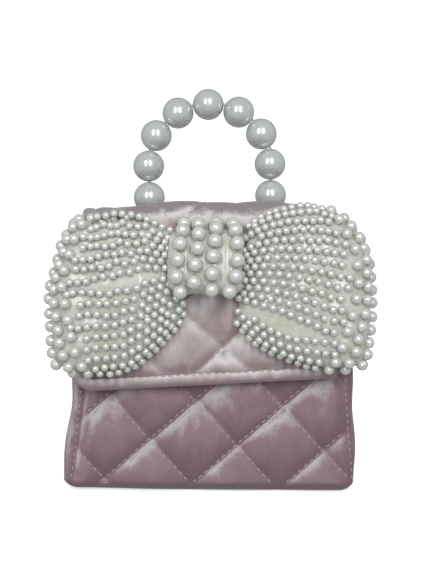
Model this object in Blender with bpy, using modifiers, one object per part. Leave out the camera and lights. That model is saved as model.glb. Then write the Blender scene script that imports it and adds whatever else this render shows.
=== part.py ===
"""A small quilted velvet handbag with a pearl bow on its flap and a pearl-bead top handle.

Metres, +Z up, the front faces -Y, and the origin is the middle of the underside of the base.
Bodies: the bag itself, the flap that hinges on the rear top piping, and the handle that tilts on
the two lowest beads.
"""

import math

import bmesh
import bpy
from mathutils import Matrix, Vector

MM = 0.001

# --- Driving dimensions -------------------------------------------------------------------------
BASE_WIDTH = 127 * MM  # across the bag at the table
SIDE_LEAN = 6.5 * MM  # how far each side leans in, from the table to the mouth
BAG_DEPTH = 50 * MM  # front face to back face, without flap and bow
BAG_HEIGHT = 120.5 * MM  # table to the top of the closed flap
PANEL = 3.2 * MM  # quilted velvet: pile, foam and backing
LINING = 0.8 * MM
BOARD = 1.5 * MM
GAP = 0.3 * MM  # between pieces that touch
BOARD_MARGIN = 5 * MM  # the stiffening board ends this far inside the base
FLAP_DROP = 74 * MM  # top of the flap to its lower edge
FLAP_MARGIN = 0.5 * MM  # how much narrower than the mouth the flap is, on each side
FLAP_CORNER = 9 * MM
RIDGE_RADIUS = 7 * MM  # outer bend where the flap turns down over the front
LINING_MARGIN = 2 * MM  # the flap's lining stops this far inside its edges
HEM_HEIGHT = 5 * MM
HEM_PROUD = 0.9 * MM
PIPING_RADIUS = 2 * MM
MOUTH_CLEARANCE = 1.5 * MM  # the bag's top edges to the underside of the closed flap
GUSSET_DIP = 7 * MM  # the side gussets end this far below the front panel

SNAP_RADIUS = 7 * MM
SNAP_SOCKET_HEIGHT = 2 * MM
SNAP_HOLE_RADIUS = 3.6 * MM
SNAP_PLATE = 0.8 * MM
SNAP_NUB_RADIUS = 2 * MM
SNAP_NUB_HEIGHT = 1.2 * MM
SNAP_WASHER = 0.5 * MM
SNAP_RISE = 15.5 * MM  # the flap's lower edge to the middle of the magnetic snap

BEAD_RADIUS = 7 * MM
BEAD_BORE = 1 * MM
BEAD_COUNT = 9
BEAD_GAP = 0.2 * MM
HANDLE_Y = 4 * MM
CORD_RADIUS = 0.6 * MM
EYELET_FLANGE = 3.6 * MM
EYELET_BARREL = 2.1 * MM
EYELET_HOLE = 1.5 * MM
EYELET_SHEET = 0.4 * MM
CRIMP_RADIUS = 2.2 * MM
CRIMP_LENGTH = 3 * MM

BOW_DROP = 21.5 * MM  # top of the flap to the middle of the knot
BOW_BACKING = 1.2 * MM
BOW_BACKING_RADIUS = 17 * MM
WING_THICKNESS = 11 * MM
KNOT_WIDTH = 29 * MM
KNOT_HEIGHT = 25 * MM
KNOT_DEPTH = 12 * MM
KNOT_PEARL = 3 * MM  # radius
KNOT_STRANDS = 4
KNOT_PEARLS = 8  # on each strand
STRAND_NECK = 0.3  # thread between two pearls, as a share of their radius
BORDER_PEARL = 2.5 * MM  # radius
RIM_PEARLS, FACE_PEARLS = 15, 13  # in each of the two border rows
BORDER_INSET = 6.5 * MM  # second border row, measured in from the first

# The right wing's outer edge, from the knot's top round to its underside: x from the middle of
# the bow, z from the middle of the knot. The left wing is its mirror image.
WING_EDGE = (
    (18.5, 13),
    (26, 17),
    (38, 19),
    (50, 14.5),
    (57, 5.5),
    (61, -6),
    (63, -20),
    (61.5, -33.5),
    (54, -43),
    (42, -46.5),
    (29, -42.5),
    (19.5, -33),
    (15.5, -22),
)
BORDER_FIRST, BORDER_LAST = 2, 8  # the points of WING_EDGE that carry the large pearls

# --- Worked out from them -----------------------------------------------------------------------
MOUTH_WIDTH = BASE_WIDTH - 2 * SIDE_LEAN
FLAP_WIDTH = MOUTH_WIDTH - 2 * FLAP_MARGIN
HALF_DEPTH = BAG_DEPTH / 2
FRONT_Y = -HALF_DEPTH
WASHER_SPACE = 2 * GAP + SNAP_WASHER  # between velvet and lining
FLAP_OUTER_TO_INNER = PANEL + WASHER_SPACE + LINING
FLAP_UNDERSIDE = BAG_HEIGHT - FLAP_OUTER_TO_INNER
PANEL_TOP = FLAP_UNDERSIDE - MOUTH_CLEARANCE
SNAP_SPACE = GAP + SNAP_SOCKET_HEIGHT + GAP + SNAP_PLATE + GAP
FLAP_INNER_Y = FRONT_Y - SNAP_SPACE
FLAP_Y = FLAP_INNER_Y - FLAP_OUTER_TO_INNER  # the flap's outer face
FLAP_BOTTOM = BAG_HEIGHT - FLAP_DROP
SNAP_HEIGHT = FLAP_BOTTOM + SNAP_RISE
BOW_Z = BAG_HEIGHT - BOW_DROP
HINGE_Y = HALF_DEPTH - PIPING_RADIUS
HINGE_Z = BAG_HEIGHT - PIPING_RADIUS
FLAP_REAR = HINGE_Y - PIPING_RADIUS - GAP
FLOOR_Z = PANEL + GAP
LINING_FLOOR = FLOOR_Z + BOARD + GAP
LINING_DEPTH = BAG_DEPTH - 2 * (PANEL + WASHER_SPACE)
HANDLE_Z = BAG_HEIGHT + EYELET_SHEET + 2 * GAP + BEAD_RADIUS  # the tilt axis
BEAD_PITCH = 2 * BEAD_RADIUS + BEAD_GAP
BEAD_TURN = math.pi / (BEAD_COUNT - 3)  # from bead to bead on the round top of the handle
HANDLE_RADIUS = BEAD_PITCH / 2 / math.sin(BEAD_TURN / 2)
BOW_BACK = FLAP_Y - GAP - BOW_BACKING - GAP
WING_FRONT = BOW_BACK - WING_THICKNESS

COLOURS = {  # base colour, roughness, metallic
    "velvet": ((0.27, 0.17, 0.18), 0.85, 0.0),
    "lining": ((0.45, 0.30, 0.32), 0.8, 0.0),
    "board": ((0.42, 0.38, 0.32), 0.9, 0.0),
    "pearl": ((0.72, 0.74, 0.70), 0.25, 0.1),
    "film": ((0.62, 0.63, 0.55), 0.5, 0.0),
    "metal": ((0.75, 0.75, 0.74), 0.25, 1.0),
    "cord": ((0.80, 0.80, 0.78), 0.4, 0.0),
}


# --- Helpers ------------------------------------------------------------------------------------
def clear_scene():
    for obj in list(bpy.data.objects):
        bpy.data.objects.remove(obj)


def new_collection(name):
    collection = bpy.data.collections.new(name)
    bpy.context.scene.collection.children.link(collection)
    return collection


def new_materials():
    made = {}
    for name, (colour, roughness, metallic) in COLOURS.items():
        material = bpy.data.materials.new(name)
        material.use_nodes = True
        shader = material.node_tree.nodes["Principled BSDF"]
        shader.inputs["Base Color"].default_value = (*colour, 1)
        shader.inputs["Roughness"].default_value = roughness
        shader.inputs["Metallic"].default_value = metallic
        made[name] = material
    return made


clear_scene()
BAG = new_collection("pearl_bow_handbag")
CUTTERS = new_collection("cutters")
MATERIALS = new_materials()


def add(name, data, material, location=(0, 0, 0), rotation=(0, 0, 0), collection=None):
    """A new object with this data and material, in the bag's collection unless told otherwise."""
    obj = bpy.data.objects.new(name, data)
    (collection or BAG).objects.link(obj)
    obj.location = location
    obj.rotation_euler = rotation
    if material and not data.materials:
        data.materials.append(MATERIALS[material])
    return obj


def joint_empty(name, location):
    """An empty on a joint's axis; what it carries is parented to it."""
    empty = bpy.data.objects.new(name, None)
    BAG.objects.link(empty)
    empty.location = location
    return empty


def carry(parent, objects):
    """Parents the objects to the empty and leaves them where they are."""
    for obj in objects:
        obj.parent = parent
        obj.matrix_parent_inverse = Matrix.Translation(-parent.location)


def tapered_box(name, size, top_width, centre, material, edge=0.0):
    """A box whose top is top_width wide in X. centre is the middle of its underside."""
    mesh = bpy.data.meshes.new(name)
    bm = bmesh.new()
    bmesh.ops.create_cube(bm, size=1)
    for vertex in bm.verts:
        width = top_width if vertex.co.z > 0 else size[0]
        vertex.co = Vector(
            (vertex.co.x * width, vertex.co.y * size[1], (vertex.co.z + 0.5) * size[2])
        )
    bm.to_mesh(mesh)
    bm.free()
    obj = add(name, mesh, material, centre)
    if edge:
        bevel = obj.modifiers.new("soft_edges", "BEVEL")
        bevel.width = edge
        bevel.segments = 2
    return obj


def width_at(z):
    """The bag's outer width at a height above the table."""
    return BASE_WIDTH + (MOUTH_WIDTH - BASE_WIDTH) * z / PANEL_TOP


def turned(name, profile, material, location, rotation=(0, 0, 0), steps=16):
    """A solid of revolution about local Z. The profile's (radius, z) points run from top to bottom
    down its outer side and, for a ring, back up its bore."""
    edges = [(i, i + 1) for i in range(len(profile) - 1)]
    if profile[0][0] > 0:  # a ring's profile closes on itself
        edges.append((len(profile) - 1, 0))
    mesh = bpy.data.meshes.new(name)
    mesh.from_pydata([(r, 0, z) for r, z in profile], edges, [])
    obj = add(name, mesh, material, location, rotation)
    screw = obj.modifiers.new("turned", "SCREW")
    screw.steps = screw.render_steps = steps
    screw.use_merge_vertices = True
    screw.merge_threshold = 0.00001
    return obj


def tube(name, points, radius, material, radii=None, resolution=2):
    """A round tube on a list of points; radii, if given, scale it at each point."""
    curve = bpy.data.curves.new(name, "CURVE")
    curve.dimensions = "3D"
    curve.bevel_depth = radius
    curve.bevel_resolution = resolution
    curve.use_fill_caps = True
    spline = curve.splines.new("POLY")
    spline.points.add(len(points) - 1)
    for i, point in enumerate(points):
        spline.points[i].co = (*point, 1)
        spline.points[i].radius = radii[i] if radii else 1
    return add(name, curve, material)


def plate(name, points, thickness, material, location, rotation):
    """A plate with a flat outline and this thickness, centred on its location."""
    curve = bpy.data.curves.new(name, "CURVE")
    curve.dimensions = "2D"
    curve.fill_mode = "BOTH"
    curve.extrude = thickness / 2
    spline = curve.splines.new("POLY")
    spline.points.add(len(points) - 1)
    for spline_point, (across, up) in zip(spline.points, points):
        spline_point.co = (across, up, 0, 1)
    spline.use_cyclic_u = True
    return add(name, curve, material, location, rotation)


def catmull_rom(points, per_span):
    """A smooth line through the points, with per_span steps between each two of them."""
    points = [Vector(p) for p in points]
    padded = [2 * points[0] - points[1], *points, 2 * points[-1] - points[-2]]
    line = []
    for a, b, c, d in zip(padded, padded[1:], padded[2:], padded[3:]):
        for step in range(per_span):
            t = step / per_span
            line.append(
                0.5
                * (
                    2 * b
                    + (c - a) * t
                    + (2 * a - 5 * b + 4 * c - d) * t * t
                    + (3 * b - a - 3 * c + d) * t**3
                )
            )
    return [*line, points[-1]]


def along(line, distances):
    """The points at these distances along a line of points."""
    found = []
    lengths = [(b - a).length for a, b in zip(line, line[1:])]
    for wanted in distances:
        passed = 0.0
        for (a, b), length in zip(zip(line, line[1:]), lengths):
            if wanted <= passed + length or b is line[-1]:
                found.append(a.lerp(b, (wanted - passed) / length))
                break
            passed += length
    return found


def pearl_strand(name, line, radius, count):
    """A string of pearls on its thread, as one solid: a tube that swells at each pearl."""
    length = sum((b - a).length for a, b in zip(line, line[1:]))
    pitch = length / count
    rings = (-0.75, 0.0, 0.75)  # along the thread from a pearl's middle, in radii
    distances, swell = [0.0], [STRAND_NECK]
    for i in range(count):
        middle = (i + 0.5) * pitch
        for share in rings:
            distances.append(middle + share * radius)
            swell.append(math.sqrt(1 - share * share))
        distances.append((i + 1) * pitch)
        swell.append(STRAND_NECK)
    return tube(name, along(line, distances), radius, "pearl", swell)


# --- The bag ------------------------------------------------------------------------------------
def make_bag():
    """Base, board, front and back panels, gussets, lining, piping and the snap's socket."""
    between_panels = BAG_DEPTH - 2 * (PANEL + GAP)
    gusset_top = PANEL_TOP - GUSSET_DIP
    tapered_box("base_panel", (BASE_WIDTH, BAG_DEPTH, PANEL), BASE_WIDTH, (0, 0, 0), "velvet")
    tapered_box(
        "base_board",
        (BASE_WIDTH - 2 * BOARD_MARGIN, between_panels - 2 * GAP, BOARD),
        BASE_WIDTH - 2 * BOARD_MARGIN,
        (0, 0, FLOOR_Z),
        "board",
    )
    hinge_clear = HINGE_Z - PIPING_RADIUS - GAP
    for name, y, top in (
        ("front_panel", FRONT_Y + PANEL / 2, PANEL_TOP),
        ("back_panel", HALF_DEPTH - PANEL / 2, hinge_clear),
    ):
        tapered_box(
            name,
            (width_at(FLOOR_Z), PANEL, top - FLOOR_Z),
            width_at(top),
            (0, y, FLOOR_Z),
            "velvet",
            edge=PANEL / 4,
        )
    for name, side in (("left_gusset", -1), ("right_gusset", 1)):
        gusset = tapered_box(
            name,
            (PANEL, between_panels, gusset_top - FLOOR_Z),
            PANEL,
            (side * (width_at(FLOOR_Z) - PANEL) / 2, 0, FLOOR_Z),
            "velvet",
        )
        lean = side * (width_at(gusset_top) - width_at(FLOOR_Z)) / 2
        for vertex in gusset.data.vertices:
            if vertex.co.z > 0:
                vertex.co.x += lean
    make_lining(gusset_top)
    tube(
        "hinge_piping",
        [(side * FLAP_WIDTH / 2, HINGE_Y, HINGE_Z) for side in (-1, 1)],
        PIPING_RADIUS,
        "velvet",
        resolution=3,
    )
    make_snap_socket()


def make_lining(top):
    """The bag's fabric lining: an open-topped box on the base board."""
    inset = 2 * (PANEL + GAP)
    lining = tapered_box(
        "bag_lining",
        (width_at(LINING_FLOOR) - inset, LINING_DEPTH, top - LINING_FLOOR),
        width_at(top) - inset,
        (0, 0, LINING_FLOOR),
        "lining",
    )
    bm = bmesh.new()
    bm.from_mesh(lining.data)
    bm.faces.ensure_lookup_table()
    lid = max(bm.faces, key=lambda face: face.calc_center_median().z)
    bmesh.ops.delete(bm, geom=[lid], context="FACES_ONLY")
    bm.to_mesh(lining.data)
    bm.free()
    shell = lining.modifiers.new("cloth", "SOLIDIFY")
    shell.thickness = LINING
    shell.offset = -1
    shell.use_even_offset = True


def snap_washer(name, y):
    """A washer behind the cloth that the snap's prongs are bent over. y is its front face."""
    return turned(
        name,
        [
            (SNAP_RADIUS, SNAP_WASHER),
            (SNAP_RADIUS, 0),
            (SNAP_HOLE_RADIUS, 0),
            (SNAP_HOLE_RADIUS, SNAP_WASHER),
        ],
        "metal",
        (0, y, SNAP_HEIGHT),
        (-math.pi / 2, 0, 0),
        steps=20,
    )


def make_snap_socket():
    """The magnetic snap's socket on the front panel, and its washer behind the velvet."""
    turned(
        "snap_socket",
        [
            (SNAP_RADIUS, SNAP_SOCKET_HEIGHT),
            (SNAP_RADIUS, 0),
            (SNAP_HOLE_RADIUS, 0),
            (SNAP_HOLE_RADIUS, SNAP_SOCKET_HEIGHT),
        ],
        "metal",
        (0, FRONT_Y - GAP, SNAP_HEIGHT),
        (math.pi / 2, 0, 0),
        steps=20,
    )
    snap_washer("snap_socket_washer", FRONT_Y + PANEL + GAP)


# --- The flap -----------------------------------------------------------------------------------
def flap_sheet(name, inset, thickness, material, side_inset):
    """An L-shaped sheet: over the mouth, round the ridge and down the front. inset is how far its
    outer face lies inside the flap's."""
    top, front = BAG_HEIGHT - inset, FLAP_Y + inset
    bend = RIDGE_RADIUS - inset
    profile = [Vector((0, FLAP_REAR, top))]
    turns = 4
    for i in range(turns + 1):
        angle = i / turns * math.pi / 2
        profile.append(
            Vector(
                (
                    0,
                    front + bend - bend * math.sin(angle),
                    top - bend + bend * math.cos(angle),
                )
            )
        )
    profile.append(Vector((0, front, FLAP_BOTTOM + side_inset)))
    half = FLAP_WIDTH / 2 - side_inset
    mesh = bpy.data.meshes.new(name)
    bm = bmesh.new()
    row = [bm.verts.new(p - Vector((half, 0, 0))) for p in profile]
    edges = [bm.edges.new(pair) for pair in zip(row, row[1:])]
    made = bmesh.ops.extrude_edge_only(bm, edges=edges)["geom"]
    moved = [v for v in made if isinstance(v, bmesh.types.BMVert)]
    bmesh.ops.translate(bm, verts=moved, vec=(2 * half, 0, 0))
    lowest = min(v.co.z for v in bm.verts)
    corners = [v for v in bm.verts if v.co.z < lowest + GAP]
    bmesh.ops.bevel(
        bm,
        geom=corners,
        offset=FLAP_CORNER - side_inset,
        segments=5,
        profile=0.5,
        affect="VERTICES",
    )
    bmesh.ops.recalc_face_normals(bm, faces=bm.faces)
    if max(bm.faces, key=lambda f: f.calc_area()).normal.y > 0:
        bmesh.ops.reverse_faces(bm, faces=bm.faces)
    bm.to_mesh(mesh)
    bm.free()
    sheet = add(name, mesh, material)
    shell = sheet.modifiers.new("cloth", "SOLIDIFY")
    shell.thickness = thickness
    shell.offset = -1
    shell.use_even_offset = True
    return sheet


def cut_eyelet_holes(sheet):
    """The two holes that the handle's eyelets pass through."""
    for side in (-1, 1):
        name = f"cut_{sheet.name}_{side}"
        mesh = bpy.data.meshes.new(name)
        bm = bmesh.new()
        bmesh.ops.create_cone(
            bm,
            cap_ends=True,
            segments=16,
            radius1=EYELET_BARREL + GAP,
            radius2=EYELET_BARREL + GAP,
            depth=4 * PANEL,
        )
        bm.to_mesh(mesh)
        bm.free()
        cutter = add(
            name,
            mesh,
            None,
            (side * HANDLE_RADIUS, HANDLE_Y, BAG_HEIGHT - PANEL),
            collection=CUTTERS,
        )
        cutter.hide_render = True
        cutter.display_type = "WIRE"
        cut = sheet.modifiers.new("eyelet_hole", "BOOLEAN")
        cut.operation = "DIFFERENCE"
        cut.object = cutter


def make_flap():
    """Quilted cover, lining, rolled hem, the snap's stud, and the eyelets for the handle."""
    cover = flap_sheet("flap_cover", 0, PANEL, "velvet", 0)
    lining = flap_sheet(
        "flap_lining", PANEL + WASHER_SPACE, LINING, "lining", LINING_MARGIN
    )
    for sheet in (cover, lining):
        cut_eyelet_holes(sheet)
    hem_half = FLAP_WIDTH / 2 - FLAP_CORNER
    hem = tapered_box(
        "flap_hem",
        (2 * hem_half, HEM_PROUD, HEM_HEIGHT),
        2 * hem_half,
        (0, FLAP_Y - GAP - HEM_PROUD / 2, FLAP_BOTTOM),
        "velvet",
        edge=HEM_PROUD / 4,
    )
    stud = turned(
        "snap_stud",
        [
            (0, SNAP_PLATE + SNAP_NUB_HEIGHT),
            (SNAP_NUB_RADIUS, SNAP_PLATE + SNAP_NUB_HEIGHT),
            (SNAP_NUB_RADIUS, SNAP_PLATE),
            (SNAP_RADIUS - GAP, SNAP_PLATE),
            (SNAP_RADIUS - GAP, 0),
            (0, 0),
        ],
        "metal",
        (0, FLAP_INNER_Y + GAP, SNAP_HEIGHT),
        (-math.pi / 2, 0, 0),
        steps=20,
    )
    washer = snap_washer("snap_stud_washer", FLAP_Y + PANEL + GAP)
    pieces = [cover, lining, hem, stud, washer]
    for name, side in (("left", -1), ("right", 1)):
        pieces += make_anchor(name, side * HANDLE_RADIUS)
    return pieces


def make_anchor(name, x):
    """Where the handle's cord goes through the flap: an eyelet, the cord's end and its crimp."""
    top, under = BAG_HEIGHT + GAP, FLAP_UNDERSIDE - GAP
    eyelet = turned(
        f"{name}_eyelet",
        [
            (EYELET_FLANGE, top + EYELET_SHEET),
            (EYELET_FLANGE, top),
            (EYELET_BARREL, top),
            (EYELET_BARREL, under),
            (EYELET_FLANGE, under),
            (EYELET_FLANGE, under - EYELET_SHEET),
            (EYELET_HOLE, under - EYELET_SHEET),
            (EYELET_HOLE, top + EYELET_SHEET),
        ],
        "metal",
        (x, HANDLE_Y, 0),
    )
    crimp_top = under - EYELET_SHEET - GAP
    crimp = turned(
        f"{name}_crimp",
        [
            (CRIMP_RADIUS, crimp_top),
            (CRIMP_RADIUS, crimp_top - CRIMP_LENGTH),
            (CORD_RADIUS + GAP, crimp_top - CRIMP_LENGTH),
            (CORD_RADIUS + GAP, crimp_top),
        ],
        "metal",
        (x, HANDLE_Y, 0),
    )
    end = tube(
        f"{name}_cord_end",
        [
            (x, HANDLE_Y, crimp_top - CRIMP_LENGTH),
            (x, HANDLE_Y, HANDLE_Z - GAP),
        ],
        CORD_RADIUS,
        "cord",
    )
    return [eyelet, crimp, end]


# --- The bow ------------------------------------------------------------------------------------
def wing_edge(side):
    """The wing's edge points in the bag's frame, as (x, z)."""
    return [(side * x * MM, BOW_Z + z * MM) for x, z in WING_EDGE]


def make_bow():
    """Felt backing, two stuffed wings with their border pearls, the knot and its four strands."""
    backing = turned(
        "bow_backing",
        [
            (0, BOW_BACKING),
            (BOW_BACKING_RADIUS, BOW_BACKING),
            (BOW_BACKING_RADIUS, 0),
            (0, 0),
        ],
        "film",
        (0, FLAP_Y - GAP, BOW_Z),
        (math.pi / 2, 0, 0),
        steps=20,
    )
    pieces = [backing]
    for name, side in (("left", -1), ("right", 1)):
        outline = catmull_rom(wing_edge(side), 3)
        pieces.append(
            plate(
                f"bow_{name}_wing",
                outline,
                WING_THICKNESS,
                "film",
                (0, BOW_BACK - WING_THICKNESS / 2, 0),
                (math.pi / 2, 0, 0),
            )
        )
        pieces += make_border(name, side)
    pieces += make_knot()
    return pieces


def make_border(name, side):
    """Two rows of large pearls on a wing's outer edge: one round its rim, one on its face."""
    edge = wing_edge(side)[BORDER_FIRST : BORDER_LAST + 1]
    line = catmull_rom([(x, 0, z) for x, z in edge], 6)
    made = []
    for row, outward, y, count in (
        ("rim", BORDER_PEARL + 2 * GAP, BOW_BACK - WING_THICKNESS / 2, RIM_PEARLS),
        (
            "face",
            BORDER_PEARL - BORDER_INSET,
            WING_FRONT - GAP - BORDER_PEARL,
            FACE_PEARLS,
        ),
    ):
        moved = []
        for before, point, after in zip(line, line[1:], line[2:]):
            across = (after - before).cross(Vector((0, 1, 0))).normalized() * side
            moved.append(Vector((point.x, y, point.z)) + across * outward)
        made.append(pearl_strand(f"bow_{name}_{row}_pearls", moved, BORDER_PEARL, count))
    return made


def knot_line(reach, back, steps=24):
    """The knot's rounded outline from its top over the front to its underside, as (y, z). reach
    is how far it lies outside the knot, and back how far its ends stay off the bow's back."""
    roundness = 0.6  # 1 is an ellipse, and 0 a rectangle
    half_height = KNOT_HEIGHT / 2 + reach
    depth = KNOT_DEPTH + reach - back
    line = []
    for step in range(steps + 1):
        angle = math.pi * step / steps
        up, out = math.cos(angle), abs(math.sin(angle))
        y = BOW_BACK - back - depth * out**roundness
        z = BOW_Z + half_height * math.copysign(abs(up) ** roundness, up)
        line.append((y, z))
    return line


def make_knot():
    """The stuffed middle of the bow, with its strands of larger pearls over the front."""
    pieces = [
        plate(
            "bow_knot",
            knot_line(0, 0),
            KNOT_WIDTH,
            "film",
            (0, 0, 0),
            (math.pi / 2, 0, math.pi / 2),
        )
    ]
    for i in range(KNOT_STRANDS):
        x = KNOT_WIDTH * ((i + 0.5) / KNOT_STRANDS - 0.5)
        line = [Vector((x, y, z)) for y, z in knot_line(KNOT_PEARL + 2 * GAP, KNOT_PEARL)]
        pieces.append(pearl_strand(f"knot_strand_{i + 1}", line, KNOT_PEARL, KNOT_PEARLS))
    return pieces


# --- The handle ---------------------------------------------------------------------------------
def on_arch(turns, radius):
    """A point on the handle's round top, this many bead turns on from its left end."""
    angle = math.pi - turns * BEAD_TURN
    return Vector(
        (
            radius * math.cos(angle),
            HANDLE_Y,
            HANDLE_Z + BEAD_PITCH + radius * math.sin(angle),
        )
    )


def make_handle():
    """Nine bored pearl beads on a stiff cord. The lowest bead of each leg sits on the tilt axis,
    and the cord is straight in each bead and bends between them."""
    rings = 8
    start = math.asin(BEAD_BORE / BEAD_RADIUS)
    angles = [start + (math.pi - 2 * start) * i / rings for i in range(rings + 1)]
    profile = [(BEAD_RADIUS * math.sin(a), BEAD_RADIUS * math.cos(a)) for a in angles]
    feet = [Vector((side * HANDLE_RADIUS, HANDLE_Y, HANDLE_Z)) for side in (-1, 1)]
    round_top = [on_arch(i, HANDLE_RADIUS) for i in range(BEAD_COUNT - 2)]
    pieces = []
    for i, place in enumerate([feet[0], *round_top, feet[1]]):
        bead = turned(f"handle_bead_{i + 1}", profile, "pearl", place, steps=14)
        lean = min(max(i - 1, 0), BEAD_COUNT - 3) * BEAD_TURN
        bead.rotation_euler = (0, lean, 0)
        pieces.append(bead)
    corner = HANDLE_RADIUS / math.cos(BEAD_TURN / 2)
    bends = [on_arch(i + 0.5, corner) for i in range(BEAD_COUNT - 3)]
    above = Vector((0, 0, GAP))
    pieces.append(
        tube("handle_cord", [feet[0] + above, *bends, feet[1] + above], CORD_RADIUS, "cord")
    )
    return pieces


make_bag()
flap_axis = joint_empty("flap_axis", (0, HINGE_Y, HINGE_Z))
handle_axis = joint_empty("handle_axis", (0, HANDLE_Y, HANDLE_Z))
carry(flap_axis, [*make_flap(), *make_bow()])
carry(handle_axis, make_handle())
handle_axis.parent = flap_axis
handle_axis.matrix_parent_inverse = Matrix.Translation(-flap_axis.location)
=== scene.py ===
# %% [markdown]
# # A quilted velvet handbag with a pearl bow
#
# This lesson dresses a bag whose hard frame is already made: panels, hinge, magnetic snap, eyelets and cord. It adds what the eye meets first: padded velvet, thread, satin, and several hundred pearls.
#
# The bag is about 127 mm wide and stands on z = 0 with its front towards -Y. All lengths below are typed in millimetres and multiplied by MM, because Blender works in metres.

# %% Load the frame
import math

import bmesh
import bpy
import numpy as np
from mathutils import Matrix, Vector
from mathutils.bvhtree import BVHTree


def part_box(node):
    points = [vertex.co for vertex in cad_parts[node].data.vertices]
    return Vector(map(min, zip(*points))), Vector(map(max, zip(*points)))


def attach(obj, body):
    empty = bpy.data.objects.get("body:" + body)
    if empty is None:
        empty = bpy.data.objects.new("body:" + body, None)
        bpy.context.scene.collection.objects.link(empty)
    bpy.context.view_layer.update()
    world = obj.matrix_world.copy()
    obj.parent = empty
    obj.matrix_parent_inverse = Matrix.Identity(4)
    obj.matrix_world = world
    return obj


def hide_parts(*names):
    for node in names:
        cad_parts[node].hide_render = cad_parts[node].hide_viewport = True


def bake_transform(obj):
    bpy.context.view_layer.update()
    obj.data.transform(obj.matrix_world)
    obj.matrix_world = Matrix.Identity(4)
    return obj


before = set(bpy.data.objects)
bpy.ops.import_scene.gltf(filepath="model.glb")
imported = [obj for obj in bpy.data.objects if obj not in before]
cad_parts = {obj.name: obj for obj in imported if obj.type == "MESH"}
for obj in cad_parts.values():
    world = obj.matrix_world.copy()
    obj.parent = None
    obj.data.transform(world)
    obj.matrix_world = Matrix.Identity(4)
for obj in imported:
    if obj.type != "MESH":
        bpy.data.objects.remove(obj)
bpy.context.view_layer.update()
MM = 0.001

# %% [markdown]
# ## The camera
#
# The camera stands about half a metre away with a moderately long lens, level with the bag's middle, so that its sides stay straight. A wide lens would be easier to place but would swell the bow, which stands nearest to it. It is slightly to the left and turned a little about its own axis, as a hand-held one is.

# %% Place the camera
AIM = Vector((2.6, -25.0, 86.9)) * MM
CAMERA_DISTANCE = 520 * MM
CAMERA_AZIMUTH = math.radians(-1.5)
CAMERA_ROLL = math.radians(0.6)

camera_data = bpy.data.cameras.new("camera")
camera_data.lens = 75.7
camera_data.sensor_width = 36
camera = bpy.data.objects.new("camera", camera_data)
bpy.context.scene.collection.objects.link(camera)
away = Vector((math.sin(CAMERA_AZIMUTH), -math.cos(CAMERA_AZIMUTH), 0))
camera.location = AIM + away * CAMERA_DISTANCE
camera.rotation_mode = "QUATERNION"
camera.rotation_quaternion = (-away).to_track_quat("-Z", "Y") @ Matrix.Rotation(
    CAMERA_ROLL, 4, "Z"
).to_quaternion()
bpy.context.scene.camera = camera
print("camera at", [round(v, 3) for v in camera.location])

# %% [markdown]
# ## Floor and light
#
# Pearls and velvet are both judged by what they reflect. Two tall narrow soft boxes, like two windows, stand on either side of the camera and give each pearl its pair of upright bright marks. The room around them is a middle grey, so that a pearl has a darker rim and looks round. A white room would be simpler, but it would make every pearl a flat disc. Three wide, weak fill lamps keep the sides and the back readable.
#
# The floor and the wall behind are one white sweep. It is left out of reflections and of bounced light, so it can be bright without washing out the bag.

# %% Build the sweep, the room and the lamps
scene = bpy.context.scene
scene.view_settings.view_transform = "Standard"

room = bpy.data.worlds.new("grey_room")
scene.world = room
room.use_nodes = True
room.node_tree.nodes["Background"].inputs["Color"].default_value = (0.86, 0.87, 0.9, 1)
room.node_tree.nodes["Background"].inputs["Strength"].default_value = 0.46


def soft_box(name, place, look_at, width, height, watts, colour=(1, 1, 1)):
    """A rectangular lamp at place that faces look_at, sizes in metres."""
    lamp = bpy.data.lights.new(name, "AREA")
    lamp.shape = "RECTANGLE"
    lamp.size, lamp.size_y = width, height
    lamp.energy = watts
    lamp.color = colour
    lamp_object = bpy.data.objects.new(name, lamp)
    scene.collection.objects.link(lamp_object)
    lamp_object.location = place
    lamp_object.rotation_euler = (
        (Vector(look_at) - Vector(place)).to_track_quat("-Z", "Y").to_euler()
    )
    return lamp_object


MIDDLE = (0, -0.02, 0.09)
soft_box("left_window", (-0.36, -0.87, 0.42), MIDDLE, 0.11, 0.6, 3.1)
soft_box("right_window", (0.2, -0.92, 0.42), MIDDLE, 0.12, 0.6, 3.9)
for name, place, watts in (
    ("right_fill", (1.0, 0.1, 0.4), 1.6),
    ("left_fill", (-1.0, 0.1, 0.4), 1.2),
    ("back_fill", (0.25, 1.1, 0.3), 4.0),
):
    soft_box(name, place, MIDDLE, 0.8, 0.7, watts).visible_glossy = False

SWEEP_WIDTH, SWEEP_FRONT, SWEEP_BACK, SWEEP_HEIGHT, SWEEP_BEND = 4.0, -2.2, 1.4, 2.6, 0.6
profile = [(SWEEP_FRONT, 0.0)]
for step in range(13):
    angle = step / 12 * math.pi / 2
    profile.append(
        (
            SWEEP_BACK - SWEEP_BEND + SWEEP_BEND * math.sin(angle),
            SWEEP_BEND - SWEEP_BEND * math.cos(angle),
        )
    )
profile.append((SWEEP_BACK, SWEEP_HEIGHT))
sweep_mesh = bpy.data.meshes.new("white_sweep")
sweep_mesh.from_pydata(
    [(side * SWEEP_WIDTH / 2, y, z - 0.0002) for y, z in profile for side in (-1, 1)],
    [],
    [(2 * i, 2 * i + 1, 2 * i + 3, 2 * i + 2) for i in range(len(profile) - 1)],
)
sweep = bpy.data.objects.new("white_sweep", sweep_mesh)
scene.collection.objects.link(sweep)
for polygon in sweep_mesh.polygons:
    polygon.use_smooth = True
sweep.visible_diffuse = False
sweep.visible_glossy = False

# %% [markdown]
# ## Colours and nodes
#
# Two small helpers serve every material. One turns the hex value of a colour chart into the linear numbers that shaders work in. The other adds a node, sets it and links it in one line, so that a material reads as a list of layers.

# %% Material helpers


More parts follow.
